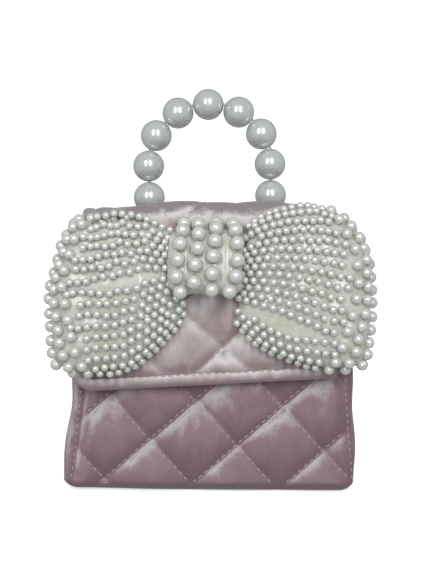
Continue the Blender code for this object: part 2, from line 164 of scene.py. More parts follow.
def hex_colour(text, alpha=1.0):
    """Linear RGBA from an sRGB hex value such as "8f7c7e"."""
    channels = [int(text[i : i + 2], 16) / 255 for i in (0, 2, 4)]
    return (*[c / 12.92 if c <= 0.04045 else ((c + 0.055) / 1.055) ** 2.4 for c in channels], alpha)


def add_node(material, kind, links=(), **settings):
    """Adds a node. settings are its properties, or its sockets when they start with an underscore
    or a capital letter; links are (output, input name or number) pairs that feed it."""
    node = material.node_tree.nodes.new(kind)
    for key, value in settings.items():
        if key[0].isupper():
            node.inputs[key.replace("_", " ")].default_value = value
        elif key[0] == "_":
            node.inputs[int(key[1:])].default_value = value
        else:
            setattr(node, key, value)
    for output, target in links:
        material.node_tree.links.new(output, node.inputs[target])
    return node


def new_material(name, **sockets):
    """A material with its Principled BSDF set, and that shader."""
    material = bpy.data.materials.new(name)
    material.use_nodes = True
    shader = material.node_tree.nodes["Principled BSDF"]
    for key, value in sockets.items():
        shader.inputs[key.replace("_", " ")].default_value = value
    return material, shader


def join(material, output, node, socket):
    material.node_tree.links.new(output, node.inputs[socket])


def places(material, per_metre):
    """Coordinates in the bag's own frame, scaled separately along X, Y and Z."""
    where = add_node(material, "ShaderNodeTexCoord")
    return add_node(
        material,
        "ShaderNodeMapping",
        [(where.outputs["Object"], "Vector")],
        Scale=per_metre,
    ).outputs[0]


def colour_ramp(material, source, stops):
    """A colour ramp with these (position, linear colour) stops."""
    ramp = add_node(material, "ShaderNodeValToRGB", [(source, "Fac")])
    elements = ramp.color_ramp.elements
    while len(elements) < len(stops):
        elements.new(0.5)
    for element, (position, colour) in zip(elements, stops):
        element.position = position
        element.color = colour
    return ramp.outputs[0]


white_paint, shader = new_material("white_sweep_paint", Base_Color=(0.95, 0.95, 0.95, 1), Roughness=0.9)
SWEEP_GLOW = 0.62
shader.inputs["Emission Color"].default_value = (1, 1, 1, 1)
shader.inputs["Emission Strength"].default_value = SWEEP_GLOW
sweep_mesh.materials.append(white_paint)
print("the sweep glows at", SWEEP_GLOW)

# %% [markdown]
# ## Crushed velvet
#
# The cover is polyester crushed velvet: a knitted ground with short glossy pile that was pressed in different
# directions before it was quilted. Two things make it look like that, and painted light adds a third. The pile lies
# mostly downwards, so there are fine streaks along Z. Patches a few millimetres wide lean another way and look lighter
# or darker. And a slope that faces up, or to the left of whoever stands before that face, is painted lighter as a
# painted highlight, while a slope that faces down is painted darker as painted shade.
#
# Real pile is 0.1 mm thick, too fine to show, so the streaks here are drawn 0.4 mm wide. The painted highlight and
# shade are taken from the surface's own direction, so they stay where they are when the bag is seen from another side.

# %% Make the velvet
PILE_WIDTH, PILE_LENGTH = 0.4 * MM, 1.5 * MM
CRUSH_WIDTH, CRUSH_LENGTH = 9.0 * MM, 12.0 * MM


def crushed_velvet(name, shade_tone, middle_tone, highlight_tone, flat):
    material, shader = new_material(
        name,
        Roughness=0.5,
        Specular_IOR_Level=0.35,
        Sheen_Weight=0.35,
        Sheen_Roughness=0.45,
        Sheen_Tint=hex_colour("efe9ea"),
    )
    streak_at = places(material, (1 / PILE_WIDTH, 1 / PILE_WIDTH, 1 / PILE_LENGTH))
    crush_at = places(material, (1 / CRUSH_WIDTH, 1 / CRUSH_WIDTH, 1 / CRUSH_LENGTH))
    streaks = add_node(
        material, "ShaderNodeTexNoise", [(streak_at, "Vector")], Scale=1.0, Detail=3.0, Roughness=0.65
    ).outputs["Fac"]
    patches = add_node(
        material, "ShaderNodeTexNoise", [(crush_at, "Vector")], Scale=1.0, Detail=3.0, Distortion=0.8
    ).outputs["Fac"]
    # Painted light: facing is high on slopes that face up or to the left of whoever stands before a face, and lean
    # carries it onto the colour ramp, so those slopes get a painted highlight and downward slopes get painted shade.
    surface = add_node(material, "ShaderNodeNewGeometry")
    normal = add_node(material, "ShaderNodeSeparateXYZ", [(surface.outputs["Normal"], 0)]).outputs
    leftward = add_node(
        material, "ShaderNodeMath", [(normal["X"], 0), (normal["Y"], 1)], operation="MULTIPLY"
    ).outputs[0]
    sideways = add_node(
        material, "ShaderNodeMath", [(leftward, 0)], operation="MULTIPLY_ADD", _1=0.5, _2=0.31
    ).outputs[0]
    facing = add_node(
        material, "ShaderNodeMath", [(normal["Z"], 0), (sideways, 2)], operation="MULTIPLY_ADD", _1=0.95
    ).outputs[0]
    # Random tone from the crushing and the streaks, which also ruffles the painted highlight and shade.
    ruffle = add_node(
        material, "ShaderNodeMath", [(patches, 0)], operation="MULTIPLY_ADD", _1=0.75, _2=-0.375
    ).outputs[0]
    grain = add_node(
        material, "ShaderNodeMath", [(streaks, 0), (ruffle, 2)], operation="MULTIPLY_ADD", _1=0.42
    ).outputs[0]
    lean = add_node(
        material, "ShaderNodeMapRange", [(add_node(
            material, "ShaderNodeMath", [(facing, 0), (grain, 1)], operation="ADD"
        ).outputs[0], "Value")], From_Min=0.0, From_Max=1.4
    ).outputs[0]
    # Painted shade: the lowest 34 mm are darkened, only because the bag looks darker there.
    where = add_node(material, "ShaderNodeTexCoord")
    height = add_node(material, "ShaderNodeSeparateXYZ", [(where.outputs["Object"], 0)]).outputs["Z"]
    painted_shade_low = add_node(
        material, "ShaderNodeMapRange", [(height, "Value")], From_Max=34 * MM, To_Min=-0.17, To_Max=0.0
    ).outputs[0]
    lean = add_node(material, "ShaderNodeMath", [(lean, 0), (painted_shade_low, 1)], operation="ADD").outputs[0]
    # The ramp runs from painted shade, through the cloth's middle tone and a painted highlight, to a darker tone
    # painted on faces turned straight up (the flat argument).
    colour = colour_ramp(
        material,
        lean,
        [
            (0.1, hex_colour(shade_tone)),
            (0.42, hex_colour(middle_tone)),
            (0.62, hex_colour(highlight_tone)),
            (0.79, hex_colour(flat)),
        ],
    )
    join(material, colour, shader, "Base Color")
    nap = add_node(material, "ShaderNodeBump", [(streaks, "Height")], Strength=0.4, Distance=0.2 * MM)
    crushed = add_node(
        material,
        "ShaderNodeBump",
        [(patches, "Height"), (nap.outputs[0], "Normal")],
        Strength=0.35,
        Distance=1.0 * MM,
    )
    join(material, crushed.outputs[0], shader, "Normal")
    return material


body_velvet = crushed_velvet("crushed_velvet", "745f63", "8b7478", "b9b3b5", "928789")
# Painted light: the flap's copy of the same velvet is painted lighter, because the flap looks brighter, and painted
# darker where it faces straight up.
lit_flap_velvet = crushed_velvet("crushed_velvet_flap_painted_lighter", "8f7d7f", "b9adad", "d3cece", "8a8283")

# %% [markdown]
# ## Thread, satin, board and metal
#
# The sewing thread is spun polyester, a shade lighter than the cloth and without much shine. The lining is a satin weave: long floats that shine along one direction, drawn as a fine brushed grain. The stiffener under the lining is grey board. The snap, the eyelets and the crimps are nickel-plated steel, bright with faint polishing marks.

# %% Make thread, satin, board and metal
pink_thread, shader = new_material(
    "spun_polyester_thread", Base_Color=hex_colour("b7a4a5"), Roughness=0.62, Sheen_Weight=0.3
)
twist_at = places(pink_thread, (1 / (0.5 * MM),) * 3)
twist = add_node(
    pink_thread,
    "ShaderNodeTexWave",
    [(twist_at, "Vector")],
    bands_direction="DIAGONAL",
    Scale=1.0,
    Distortion=0.5,
)
join(
    pink_thread,
    add_node(
        pink_thread, "ShaderNodeBump", [(twist.outputs["Fac"], "Height")], Strength=0.4, Distance=0.1 * MM
    ).outputs[0],
    shader,
    "Normal",
)

satin, shader = new_material("satin_lining", Roughness=0.42, Sheen_Weight=0.25, Anisotropic=0.5)
float_at = places(satin, (1 / (0.3 * MM), 1 / (0.3 * MM), 1 / (6 * MM)))
floats = add_node(
    satin, "ShaderNodeTexNoise", [(float_at, "Vector")], Scale=1.0, Detail=2.0
).outputs["Fac"]
join(
    satin,
    colour_ramp(satin, floats, [(0.3, hex_colour("a88f93")), (0.7, hex_colour("bda7aa"))]),
    shader,
    "Base Color",
)
join(
    satin,
    add_node(satin, "ShaderNodeBump", [(floats, "Height")], Strength=0.25, Distance=0.1 * MM).outputs[0],
    shader,
    "Normal",
)

grey_board, shader = new_material("grey_board", Roughness=0.9)
fibre_at = places(grey_board, (1 / (1.2 * MM),) * 3)
fibres = add_node(
    grey_board, "ShaderNodeTexNoise", [(fibre_at, "Vector")], Scale=1.0, Detail=6.0
).outputs["Fac"]
join(
    grey_board,
    colour_ramp(grey_board, fibres, [(0.35, hex_colour("a49b8c")), (0.65, hex_colour("b5ac9c"))]),
    shader,
    "Base Color",
)

nickel, shader = new_material("nickel_plated_steel", Base_Color=hex_colour("c9c8c2"), Metallic=1.0)
polish_at = places(nickel, (1 / (2.5 * MM), 1 / (2.5 * MM), 1 / (0.2 * MM)))
polish = add_node(
    nickel, "ShaderNodeTexNoise", [(polish_at, "Vector")], Scale=1.0, Detail=4.0
).outputs["Fac"]
join(
    nickel,
    add_node(
        nickel,
        "ShaderNodeMapRange",
        [(polish, "Value")],
        From_Min=0.3,
        From_Max=0.7,
        To_Min=0.16,
        To_Max=0.32,
    ).outputs[0],
    shader,
    "Roughness",
)

# %% [markdown]
# ## Pearls, film and cord
#
# The pearls are moulded ABS dipped in pearl lacquer. The lacquer holds flakes that reflect a soft, slightly green-grey light from under a hard clear surface. So the shader is part metallic for the flakes, fairly smooth, and has a coat for the clear surface. A very fine noise varies the flakes.
#
# The bow is cut from an ivory film-faced felt. Glue has yellowed it in a few places, most near the edge of the wings and beside the knot, so the colour drifts between ivory and a pale green-yellow. The handle's cord and the pearl thread are clear nylon.

# %% Make pearl, film and cord


def pearl_lacquer(name, base, flake, lustre):
    material, shader = new_material(
        name,
        Roughness=0.24,
        Metallic=lustre,
        IOR=1.53,
        Specular_Tint=(0.4, 0.41, 0.42, 1),
        Coat_Weight=0.8,
        Coat_IOR=1.6,
        Coat_Roughness=0.07,
    )
    flake_at = places(material, (1 / (1.6 * MM),) * 3)
    flakes = add_node(
        material, "ShaderNodeTexNoise", [(flake_at, "Vector")], Scale=1.0, Detail=5.0, Roughness=0.7
    ).outputs["Fac"]
    join(
        material,
        colour_ramp(material, flakes, [(0.32, hex_colour(base)), (0.68, hex_colour(flake))]),
        shader,
        "Base Color",
    )
    join(
        material,
        add_node(
            material, "ShaderNodeBump", [(flakes, "Height")], Strength=0.08, Distance=0.15 * MM
        ).outputs[0],
        shader,
        "Normal",
    )
    return material


handle_pearl = pearl_lacquer("handle_pearl_lacquer", "c4cac8", "d8dddb", 0.4)
bow_pearl = pearl_lacquer("bow_pearl_lacquer", "cfd3cc", "dfe1da", 0.3)

ivory_film, shader = new_material("ivory_film", Roughness=0.33, Specular_IOR_Level=0.5, Coat_Weight=0.3)
stain_at = places(ivory_film, (1 / (16 * MM), 1 / (16 * MM), 1 / (11 * MM)))
stains = add_node(
    ivory_film, "ShaderNodeTexNoise", [(stain_at, "Vector")], Scale=1.0, Detail=3.0
).outputs["Fac"]
stained = colour_ramp(
    ivory_film,
    stains,
    [(0.3, hex_colour("c1c1b5")), (0.52, hex_colour("c8c8bf")), (0.7, hex_colour("bcbda9"))],
)
crinkle_at = places(ivory_film, (1 / (1.8 * MM), 1 / (1.8 * MM), 1 / (1.3 * MM)))
crinkles = add_node(
    ivory_film, "ShaderNodeTexNoise", [(crinkle_at, "Vector")], Scale=1.0, Detail=4.0, Distortion=0.6
).outputs["Fac"]
# Painted highlight and shade: the film's colour is made lighter and darker along its crinkles, for the light that they
# catch.
crinkle_light = add_node(
    ivory_film,
    "ShaderNodeMapRange",
    [(crinkles, "Value")],
    From_Min=0.32,
    From_Max=0.68,
    To_Min=0.9,
    To_Max=1.07,
).outputs[0]
crinkle_lit_colour = add_node(
    ivory_film, "ShaderNodeHueSaturation", [(stained, "Color"), (crinkle_light, "Value")]
).outputs["Color"]
join(ivory_film, crinkle_lit_colour, shader, "Base Color")
join(
    ivory_film,
    add_node(
        ivory_film, "ShaderNodeBump", [(crinkles, "Height")], Strength=0.35, Distance=0.3 * MM
    ).outputs[0],
    shader,
    "Normal",
)

clear_nylon, shader = new_material(
    "clear_nylon", Base_Color=hex_colour("d6d6d0"), Roughness=0.3, IOR=1.53, Transmission_Weight=0.25
)
twine_at = places(clear_nylon, (1 / (0.6 * MM),) * 3)
twine = add_node(
    clear_nylon, "ShaderNodeTexNoise", [(twine_at, "Vector")], Scale=1.0, Detail=2.0
).outputs["Fac"]
join(
    clear_nylon,
    add_node(
        clear_nylon, "ShaderNodeMapRange", [(twine, "Value")], To_Min=0.22, To_Max=0.4
    ).outputs[0],
    shader,
    "Roughness",
)
print(len(bpy.data.materials), "materials")

# %% [markdown]
# ## Meshes from rows of points
#
# Cloth is modelled as rows of points, as on a knitting machine: each row has the same number of stitches, and each four neighbours make a face. The points come from formulas in real sizes, so a seam can be placed to a tenth of a millimetre. A sculpted mesh would also do, but it could not be changed by one number.

# %% Mesh helpers


def row_faces(rows, columns, closed=False, first=0):
    """Quads between neighbouring rows of points; closed joins each row's end to its start."""
    last = columns if closed else columns - 1
    return [
        (
            first + r * columns + c,
            first + r * columns + (c + 1) % columns,
            first + (r + 1) * columns + (c + 1) % columns,
            first + (r + 1) * columns + c,
        )
        for r in range(rows - 1)
        for c in range(last)
    ]


def new_piece(name, points, faces, material, body):
    """A mesh object in the row frame that rides on a body. body is None for a piece that rides on no body."""
    mesh = bpy.data.meshes.new(name)
    mesh.from_pydata([tuple(p) for p in points], [], faces)
    form = bmesh.new()
    form.from_mesh(mesh)
    bmesh.ops.remove_doubles(form, verts=form.verts, dist=0.001 * MM)
    bmesh.ops.recalc_face_normals(form, faces=form.faces)
    form.to_mesh(mesh)
    form.free()
    mesh.polygons.foreach_set("use_smooth", [True] * len(mesh.polygons))
    mesh.materials.append(material)
    piece = bpy.data.objects.new(name, mesh)
    scene.collection.objects.link(piece)
    if body:
        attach(piece, body)
    print(f"{name}: {len(mesh.vertices)} points, {len(mesh.polygons)} faces")
    return piece


def smooth_step(low, high, value):
    t = np.clip((value - low) / (high - low), 0, 1)
    return t * t * (3 - 2 * t)


# %% [markdown]
# ## Quilting
#
# The maker sews two families of slanting lines through velvet, foam and backing, and the foam swells between them into diamonds. Each family is a set of parallel lines, so a point's place between two lines is one number for each family. The swell is zero on a line and rises steeply beside it, because thread pulls foam down sharply, and is rounded in the middle. Where two lines cross, the cloth is pinched deepest.

# %% Quilting pattern


class Quilting:
    """Diamonds set by one crossing and the two sides of a diamond, in metres on the flat cloth."""

    def __init__(self, crossing, side_up, side_down, swell, pinch):
        self.crossing = np.array(crossing) * MM
        self.sides = np.array([side_up, side_down]).T * MM
        self.back = np.linalg.inv(self.sides)
        self.swell, self.pinch = swell * MM, pinch * MM

    def numbers(self, across, up):
        """The two line numbers of each point."""
        flat = np.stack([across - self.crossing[0], up - self.crossing[1]], -1)
        return flat @ self.back.T

    def height(self, across, up):
        """How far the cloth stands off its base at each point."""
        n = self.numbers(across, up)
        near = np.sin(np.pi * n) ** 2
        pad = ((near[..., 0] + 0.004) * (near[..., 1] + 0.004)) ** 0.2 / 1.0016 - 0.05
        cross = np.exp(-(near[..., 0] + near[..., 1]) / 0.09)
        return self.swell * pad - self.pinch * (1 - pad) ** 4 - 0.5 * self.pinch * cross

    def lines(self, inside, reach=14, steps=900):
        """Stretches of every sewn line where inside(across, up) is true, as flat points."""
        found = []
        for family in (0, 1):
            for number in range(-reach, reach + 1):
                along = np.linspace(-reach, reach, steps)
                n = np.zeros((steps, 2))
                n[:, family], n[:, 1 - family] = number, along
                flat = n @ self.sides.T + self.crossing
                keep = inside(flat[:, 0], flat[:, 1])
                runs = np.split(np.arange(steps), np.where(np.diff(keep.astype(int)) != 0)[0] + 1)
                found += [flat[run] for run in runs if keep[run[0]] and len(run) > 3]
        return found


bag_quilt = Quilting((11.6, 19.9), (19.1, 16.9), (18.1, -19.1), swell=3.1, pinch=0.9)
flap_quilt = Quilting((5.6, 62.1), (18.2, 17.2), (19.2, -16.6), swell=2.6, pinch=0.8)
snap_low, snap_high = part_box("snap_socket")
SNAP_Z = (snap_low.z + snap_high.z) / 2


def clear_of_snap(x, z):
    """0 at the snap's socket, where the foam is clamped flat, and 1 away from it."""
    return 1 - np.exp(-(((x**2 + (z - SNAP_Z) ** 2) / (9.5 * MM) ** 2) ** 3))


print("diamond sides in mm:", [round(float(np.linalg.norm(s)) / MM, 1) for s in bag_quilt.sides.T])

# %% [markdown]
# ## Stitches
#
# A sewn line shows as dashes: about 2 mm of thread on top, then 1 mm where it dips through the cloth. Each dash is a short rounded bead of thread whose ends sink into the velvet. Drawing the dashes in a texture would be lighter, but real ones catch the light along their upper side.

# %% Stitch helper
STITCH, STITCH_GAP, THREAD = 2.1 * MM, 1.2 * MM, 0.26 * MM


def dashes(line, out, length=STITCH, gap=STITCH_GAP, radius=THREAD, sides=6):
    """Points and faces of thread dashes along a line of points; out gives the cloth's direction."""
    line, out = np.array(line), np.array(out)
    steps = np.linalg.norm(np.diff(line, axis=0), axis=1)
    walked = np.concatenate([[0], np.cumsum(steps)])
    points, faces = [], []
    start = gap / 2
    while start + length < walked[-1]:
        shares = np.array([0.0, 0.08, 0.3, 0.7, 0.92, 1.0])
        swell = np.array([0.25, 0.75, 1.0, 1.0, 0.75, 0.25])
        at = start + shares * length
        middle = np.stack([np.interp(at, walked, line[:, k]) for k in range(3)], -1)
        up = np.stack([np.interp(at, walked, out[:, k]) for k in range(3)], -1)
        up /= np.linalg.norm(up, axis=1, keepdims=True)
        ahead = (middle[-1] - middle[0]) / max(np.linalg.norm(middle[-1] - middle[0]), 1e-9)
        side = np.cross(ahead, up)
        side /= np.linalg.norm(side, axis=1, keepdims=True)
        lift = (swell - 0.55)[:, None] * up * radius
        first = len(points)
        for m, u, s, w, l in zip(middle, up, side, swell, lift):
            for k in range(sides):
                turn = 2 * math.pi * k / sides
                points.append(m + l + radius * w * (math.cos(turn) * u + math.sin(turn) * s))
        faces += row_faces(6, sides, closed=True, first=first)
        faces.append(tuple(range(first + sides - 1, first - 1, -1)))
        faces.append(tuple(range(first + 5 * sides, first + 6 * sides)))
        start += length + gap
    return points, faces


def lay_on(tree, line, out, reach=7 * MM):
    """The line moved onto a surface, which is looked for from outside, against out."""
    laid = []
    for place, way in zip(line, out):
        way = Vector(way).normalized()
        hit = tree.ray_cast(Vector(place) + way * reach, -way, 2 * reach)[0]
        laid.append(place if hit is None else np.array(hit))
    laid = np.array(laid)
    laid[1:-1] = (laid[:-2] + 2 * laid[1:-1] + laid[2:]) / 4
    return laid


def surface_of(piece):
    """A search tree of a piece's faces."""
    mesh = piece.data
    return BVHTree.FromPolygons(
        [v.co for v in mesh.vertices], [tuple(p.vertices) for p in mesh.polygons]
    )


def gather(parts):
    """Joins several (points, faces) into one."""
    points, faces = [], []
    for more, their_faces in parts:
        faces += [tuple(i + len(points) for i in face) for face in their_faces]
        points += list(more)
    return points, faces


# %% [markdown]
# ## The bag's cover
#
# One tube of velvet makes the front, both gussets and the back. It flares towards the table, its corners are round and soft, and it turns under at the bottom and over at the mouth. The gussets stand a little lower than the front, so that the mouth can fold. A row of points therefore runs once round the bag, and the rows climb from the table to the mouth and roll inside.
#
# The front is joined to the gussets by two seams a few millimetres in from its edges. They are drawn as narrow grooves with their own stitches.

# %% Shape of the bag
HALF_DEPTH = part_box("back_panel")[1].y
FRONT_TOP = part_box("front_panel")[1].z - 0.3 * MM
BACK_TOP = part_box("back_panel")[1].z - 0.3 * MM
GUSSET_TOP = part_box("left_gusset")[1].z + 0.6 * MM
CORNER = 5.0 * MM
FOOT_ROUND = 3.6 * MM
WALL = 3.2 * MM


def half_width(z):
    """Half the bag's width at a height: soft sides that flare near the table."""
    return (56.6 + 6.9 * np.clip(1 - z / (114 * MM), 0, 1) ** 1.6) * MM


def outline(half_w, half_d, corner, straight=(150, 58), arc=7):
    """One loop round the bag seen from above, from the front's left end to the right, round the
    back and home, with the outward direction at each point."""
    loop, outward = [], []
    sides = (
        ((-1, -1), (1, 0), straight[0], half_w),
        ((1, -1), (0, 1), straight[1], half_d),
        ((1, 1), (-1, 0), straight[0], half_w),
        ((-1, 1), (0, -1), straight[1], half_d),
    )
    for (cx, cy), (dx, dy), count, reach in sides:
        begin = np.array([cx * half_w, cy * half_d]) + np.array([dx, dy]) * corner
        run = 2 * (reach - corner)
        normal = np.array([dy, -dx])
        for k in range(count):
            loop.append(begin + np.array([dx, dy]) * run * k / count)
            outward.append(normal)
        end = begin + np.array([dx, dy]) * run
        centre = end - normal * corner
        for k in range(arc):
            turn = k / arc * math.pi / 2
            along = math.cos(turn) * normal + math.sin(turn) * np.array([dx, dy])
            loop.append(centre + along * corner)
            outward.append(along)
    return np.array(loop), np.array(outward)


base_loop, loop_out = outline(half_width(0.0), HALF_DEPTH, CORNER)
LOOP = len(base_loop)


def foot_loop(inset):
    """The loop at the table, moved in by inset."""
    return outline(half_width(0.0) - inset, HALF_DEPTH - inset, CORNER - inset)[0]


def mouth_height(loop):
    """The height of the mouth over each point of the loop."""
    share = (loop[:, 1] + HALF_DEPTH) / (2 * HALF_DEPTH)
    rim = FRONT_TOP + (BACK_TOP - FRONT_TOP) * share
    dip = np.sin(np.pi * np.clip(share, 0, 1)) ** 0.5
    on_side = smooth_step(0, 1, np.abs(loop_out[:, 0]))
    return rim - (rim - GUSSET_TOP) * dip * on_side


def seam_distance(x, z):
    """Distance from the seams that join the front to the gussets."""
    left = -(54.6 + 4.6 * (1 - np.clip(z / (46 * MM), 0, 1)) ** 1.2) * MM
    right = (58.3 + 4.2 * (1 - np.clip(z / (46 * MM), 0, 1)) ** 1.2) * MM
    return np.minimum(np.abs(x - left), np.abs(x - right)), left, right


# %% Raise the rows
UP_ROWS = 138
rows = []
mouth = mouth_height(base_loop)
for step in range(7):  # under the foot
    turn = step / 6 * math.pi / 2
    inset = FOOT_ROUND * (1 - math.sin(turn))
    loop = foot_loop(inset)
    z = np.full(LOOP, 0.25 * MM + FOOT_ROUND * (1 - math.cos(turn)))
    rows.append(np.column_stack([loop, z]))
for step in range(1, UP_ROWS + 1):  # up the wall
    low = rows[6][:, 2]
    z = low + (mouth - WALL / 2 - low) * step / UP_ROWS
    x = base_loop[:, 0] * half_width(z) / half_width(0.0)
    rows.append(np.column_stack([x, base_loop[:, 1], z]))
outer = np.array(rows)
# The lower corners are round seen from the front, and the left half of the foot is drawn up a
# little where the bottom seam is tight.
tuck = 2.6 * MM * np.clip(1 - outer[..., 2] / (6.5 * MM), 0, 1) ** 2
outer[..., 0] -= tuck * np.clip(outer[..., 0] / (60 * MM), -1, 1) ** 5
drawn_up = 0.6 * MM * smooth_step(-10 * MM, -60 * MM, outer[..., 0])
outer[..., 2] += drawn_up * np.exp(-outer[..., 2] / (22 * MM))

# %% [markdown]
# The loop is scaled in X with the bag's width, which keeps every column of points upright on the cloth. Then the wall is pushed out by the quilting on the front and the back, and by a soft belly and a few lazy puckers on the gussets, where the cloth has no quilting and is only sewn at its edges.

# %% Quilt the wall
X, Y, Z = outer[..., 0], outer[..., 1], outer[..., 2]
facing = np.abs(loop_out[:, 1])[None, :]
on_panel = smooth_step(0.75, 1.0, facing)
fade = smooth_step(-1 * MM, 4 * MM, Z) * smooth_step(0, 6 * MM, mouth[None, :] - Z)
mirrored = np.where(loop_out[:, 1] > 0, -X, X)
quilted = bag_quilt.height(mirrored, Z) * on_panel * fade
seam, _, _ = seam_distance(mirrored, Z)
groove = -1.3 * MM * np.exp(-((seam / (0.9 * MM)) ** 2)) * smooth_step(0.9, 1.0, facing)
edge_tame = smooth_step(0, 7 * MM, seam)
gusset = 1 - on_panel
belly = gusset * fade * 1.0 * MM * np.sin(np.pi * np.clip(Z / (110 * MM), 0, 1))
creases = np.sin(Z / (5.2 * MM) + 3 * np.sin(Y / (9 * MM)))
beside_seams = np.exp(-((np.abs(Y) - 20 * MM) ** 2) / (9 * MM) ** 2)
pucker = gusset * fade * 0.55 * MM * (creases * beside_seams)
slack = (
    0.45 * MM * np.sin(X / (17 * MM) + 1.3) * np.sin(Z / (23 * MM) + 0.4)
    + 0.25 * MM * np.sin(X / (6.1 * MM) + Z / (8.3 * MM))
) * fade
at_snap = np.where(loop_out[:, 1] < -0.5, clear_of_snap(X, Z), 1.0)
quilted, slack = quilted * at_snap, slack * at_snap
push = quilted * (0.35 + 0.65 * edge_tame) + groove + belly + pucker + slack * on_panel
outer[..., 0] += loop_out[None, :, 0] * push
outer[..., 1] += loop_out[None, :, 1] * push
# The soft bag leans to its right between the table and the flap.
outer[..., 0] += (
    0.3 * MM + 1.3 * MM * smooth_step(0, 42 * MM, Z) * (1 - smooth_step(66 * MM, 100 * MM, Z))
) * smooth_step(FRONT_TOP, 60 * MM, Z)
print("front stands proud by", round(float(-outer[..., 1].min() - HALF_DEPTH) / MM, 2), "mm at most")

# %% Roll the mouth and close the foot
rim_rows = []
for step in range(1, 7):
    turn = step / 6 * math.pi
    inset = WALL / 2 * (1 - math.cos(turn))
    lift = WALL / 2 * math.sin(turn)
    top_row = outer[-1]
    rim_rows.append(
        np.column_stack(
            [
                top_row[:, 0] - loop_out[:, 0] * inset,
                top_row[:, 1] - loop_out[:, 1] * inset,
                top_row[:, 2] + lift,
            ]
        )
    )
for drop in (2, 4, 6, 8):
    row = rim_rows[5].copy()
    row[:, 2] = np.minimum(row[:, 2] - drop * MM * 0.5, row[:, 2])
    row[:, 2] -= (row[:, 2] - 104.5 * MM) * drop / 8 * 0.9
    rim_rows.append(row)
wall_rows = np.concatenate([outer, np.array(rim_rows)])
foot_rows = []
for share in np.linspace(0.0, 1.0, 12)[:-1]:
    ring = wall_rows[0].copy()
    ring[:, 1] *= share
    ring[:, 0] *= 1 - (1 - share) * HALF_DEPTH / half_width(0.0)
    ring[:, 2] += 0.15 * MM * (1 - share)
    foot_rows.append(ring)
all_rows = np.concatenate([np.array(foot_rows), wall_rows])
cover_points = all_rows.reshape(-1, 3)
bag_cover = new_piece(
    "bag_cover",
    cover_points,
    row_faces(len(all_rows), LOOP, closed=True),
    body_velvet,
    "bag",
)
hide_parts("base_panel", "front_panel", "back_panel", "left_gusset", "right_gusset")

# %% [markdown]
# ## The bag's stitches
#
# The dashes follow the quilting on the front and the back, and run down the two front seams and round the mouth. Each point starts from the wall's formula and is then laid on the finished cloth by looking for it from outside, so no dash floats or sinks.

# %% Sew the bag


def wall_point(x, z, sign=-1):
    """A point on the quilted wall; sign is -1 for the front and 1 for the back."""
    flat_x = np.where(sign > 0, -x, x) if sign > 0 else x
    seam, _, _ = seam_distance(flat_x, z)
    tame = 0.35 + 0.65 * smooth_step(0, 7 * MM, seam)
    fade = smooth_step(-1 * MM, 4 * MM, z)
    push = bag_quilt.height(flat_x, z) * fade * tame
    push = push - 1.3 * MM * np.exp(-((seam / (0.9 * MM)) ** 2))
    slack = (
        0.45 * MM * np.sin(x / (17 * MM) + 1.3) * np.sin(z / (23 * MM) + 0.4)
        + 0.25 * MM * np.sin(x / (6.1 * MM) + z / (8.3 * MM))
    ) * fade
    return np.column_stack([x, sign * (HALF_DEPTH + push + slack), z])


def on_front(x, z):
    _, left, right = seam_distance(x, z)
    inside = (x > left + 0.8 * MM) & (x < right - 0.8 * MM) & (z > 3.2 * MM) & (z < 111 * MM)
    return inside & (clear_of_snap(x, z) > 0.35)


parts = []
bag_surface = surface_of(bag_cover)
for line in bag_quilt.lines(on_front):
    for sign in (-1, 1):
        x = line[:, 0] if sign < 0 else -line[:, 0]
        out = np.tile([0, sign, 0], (len(x), 1))
        cloth = lay_on(bag_surface, wall_point(x, line[:, 1], sign), out)
        parts.append(dashes(cloth, out))
heights = np.linspace(5 * MM, 110 * MM, 200)
_, left_seam, right_seam = seam_distance(np.zeros(200), heights)
for sign in (-1, 1):
    for seam_x in (left_seam, right_seam):
        x = seam_x if sign < 0 else -seam_x
        out = np.tile([0, sign, 0], (200, 1))
        cloth = lay_on(bag_surface, wall_point(x, heights, sign), out)
        parts.append(dashes(cloth, out, length=1.6 * MM, gap=1.4 * MM))
rim = outer[-4]
rim_loop = np.concatenate([rim, rim[:1]])
rim_out = np.column_stack([loop_out, np.zeros(LOOP)])
rim_out = np.concatenate([rim_out, rim_out[:1]])
parts.append(dashes(rim_loop + rim_out * 0.1 * MM, rim_out))
stitch_points, stitch_faces = gather(parts)
new_piece("bag_stitches", stitch_points, stitch_faces, pink_thread, "bag")

# %% [markdown]
# ## The flap's cover
#
# The flap is one quilted sheet that lies over the mouth, bends down over a soft ridge and hangs in front. Its flat pattern is a rectangle with two rounded corners, so each point is placed on the flat pattern first, and then laid over the bend. This keeps the quilting's size true round the ridge.
#
# Its foam sags at the two ends of the ridge, and its lower edge hangs a little crooked, as a sewn flap does.

# %% Flat pattern and bend of the flap
FLAP_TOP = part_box("flap_cover")[1].z
FLAP_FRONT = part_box("flap_cover")[0].y
FLAP_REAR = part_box("flap_cover")[1].y
FLAP_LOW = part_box("flap_cover")[0].z
RIDGE = 7.0 * MM
FLAP_CORNER = 6.5 * MM
FLAP_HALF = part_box("flap_cover")[1].x
BEND_LOW = FLAP_TOP - RIDGE
BEND_LENGTH = RIDGE * math.pi / 2
TOP_LENGTH = FLAP_REAR - (FLAP_FRONT + RIDGE)
PATTERN_TOP = BEND_LOW + BEND_LENGTH + TOP_LENGTH


def flap_low(x):
    """The height of the flap's lower edge."""
    return FLAP_LOW + 0.2 * MM + 0.06 * x


def flap_half(up):
    """Half the flap's width on its flat pattern: narrower over the ridge."""
    ridge = np.exp(-(((up - BEND_LOW - 6 * MM) / (16 * MM)) ** 2))
    return FLAP_HALF - 0.4 * MM - 2.6 * MM * ridge


def sag(x, up):
    """How far the foam sinks at the ends of the ridge, less the height of its full middle."""
    ends = smooth_step(22 * MM, 54 * MM, -x) * 5.6 * MM + smooth_step(36 * MM, 56 * MM, x) * 3.4 * MM
    return (ends - 2.6 * MM) * np.exp(-(((up - BEND_LOW - 9 * MM) / (8.5 * MM)) ** 2))


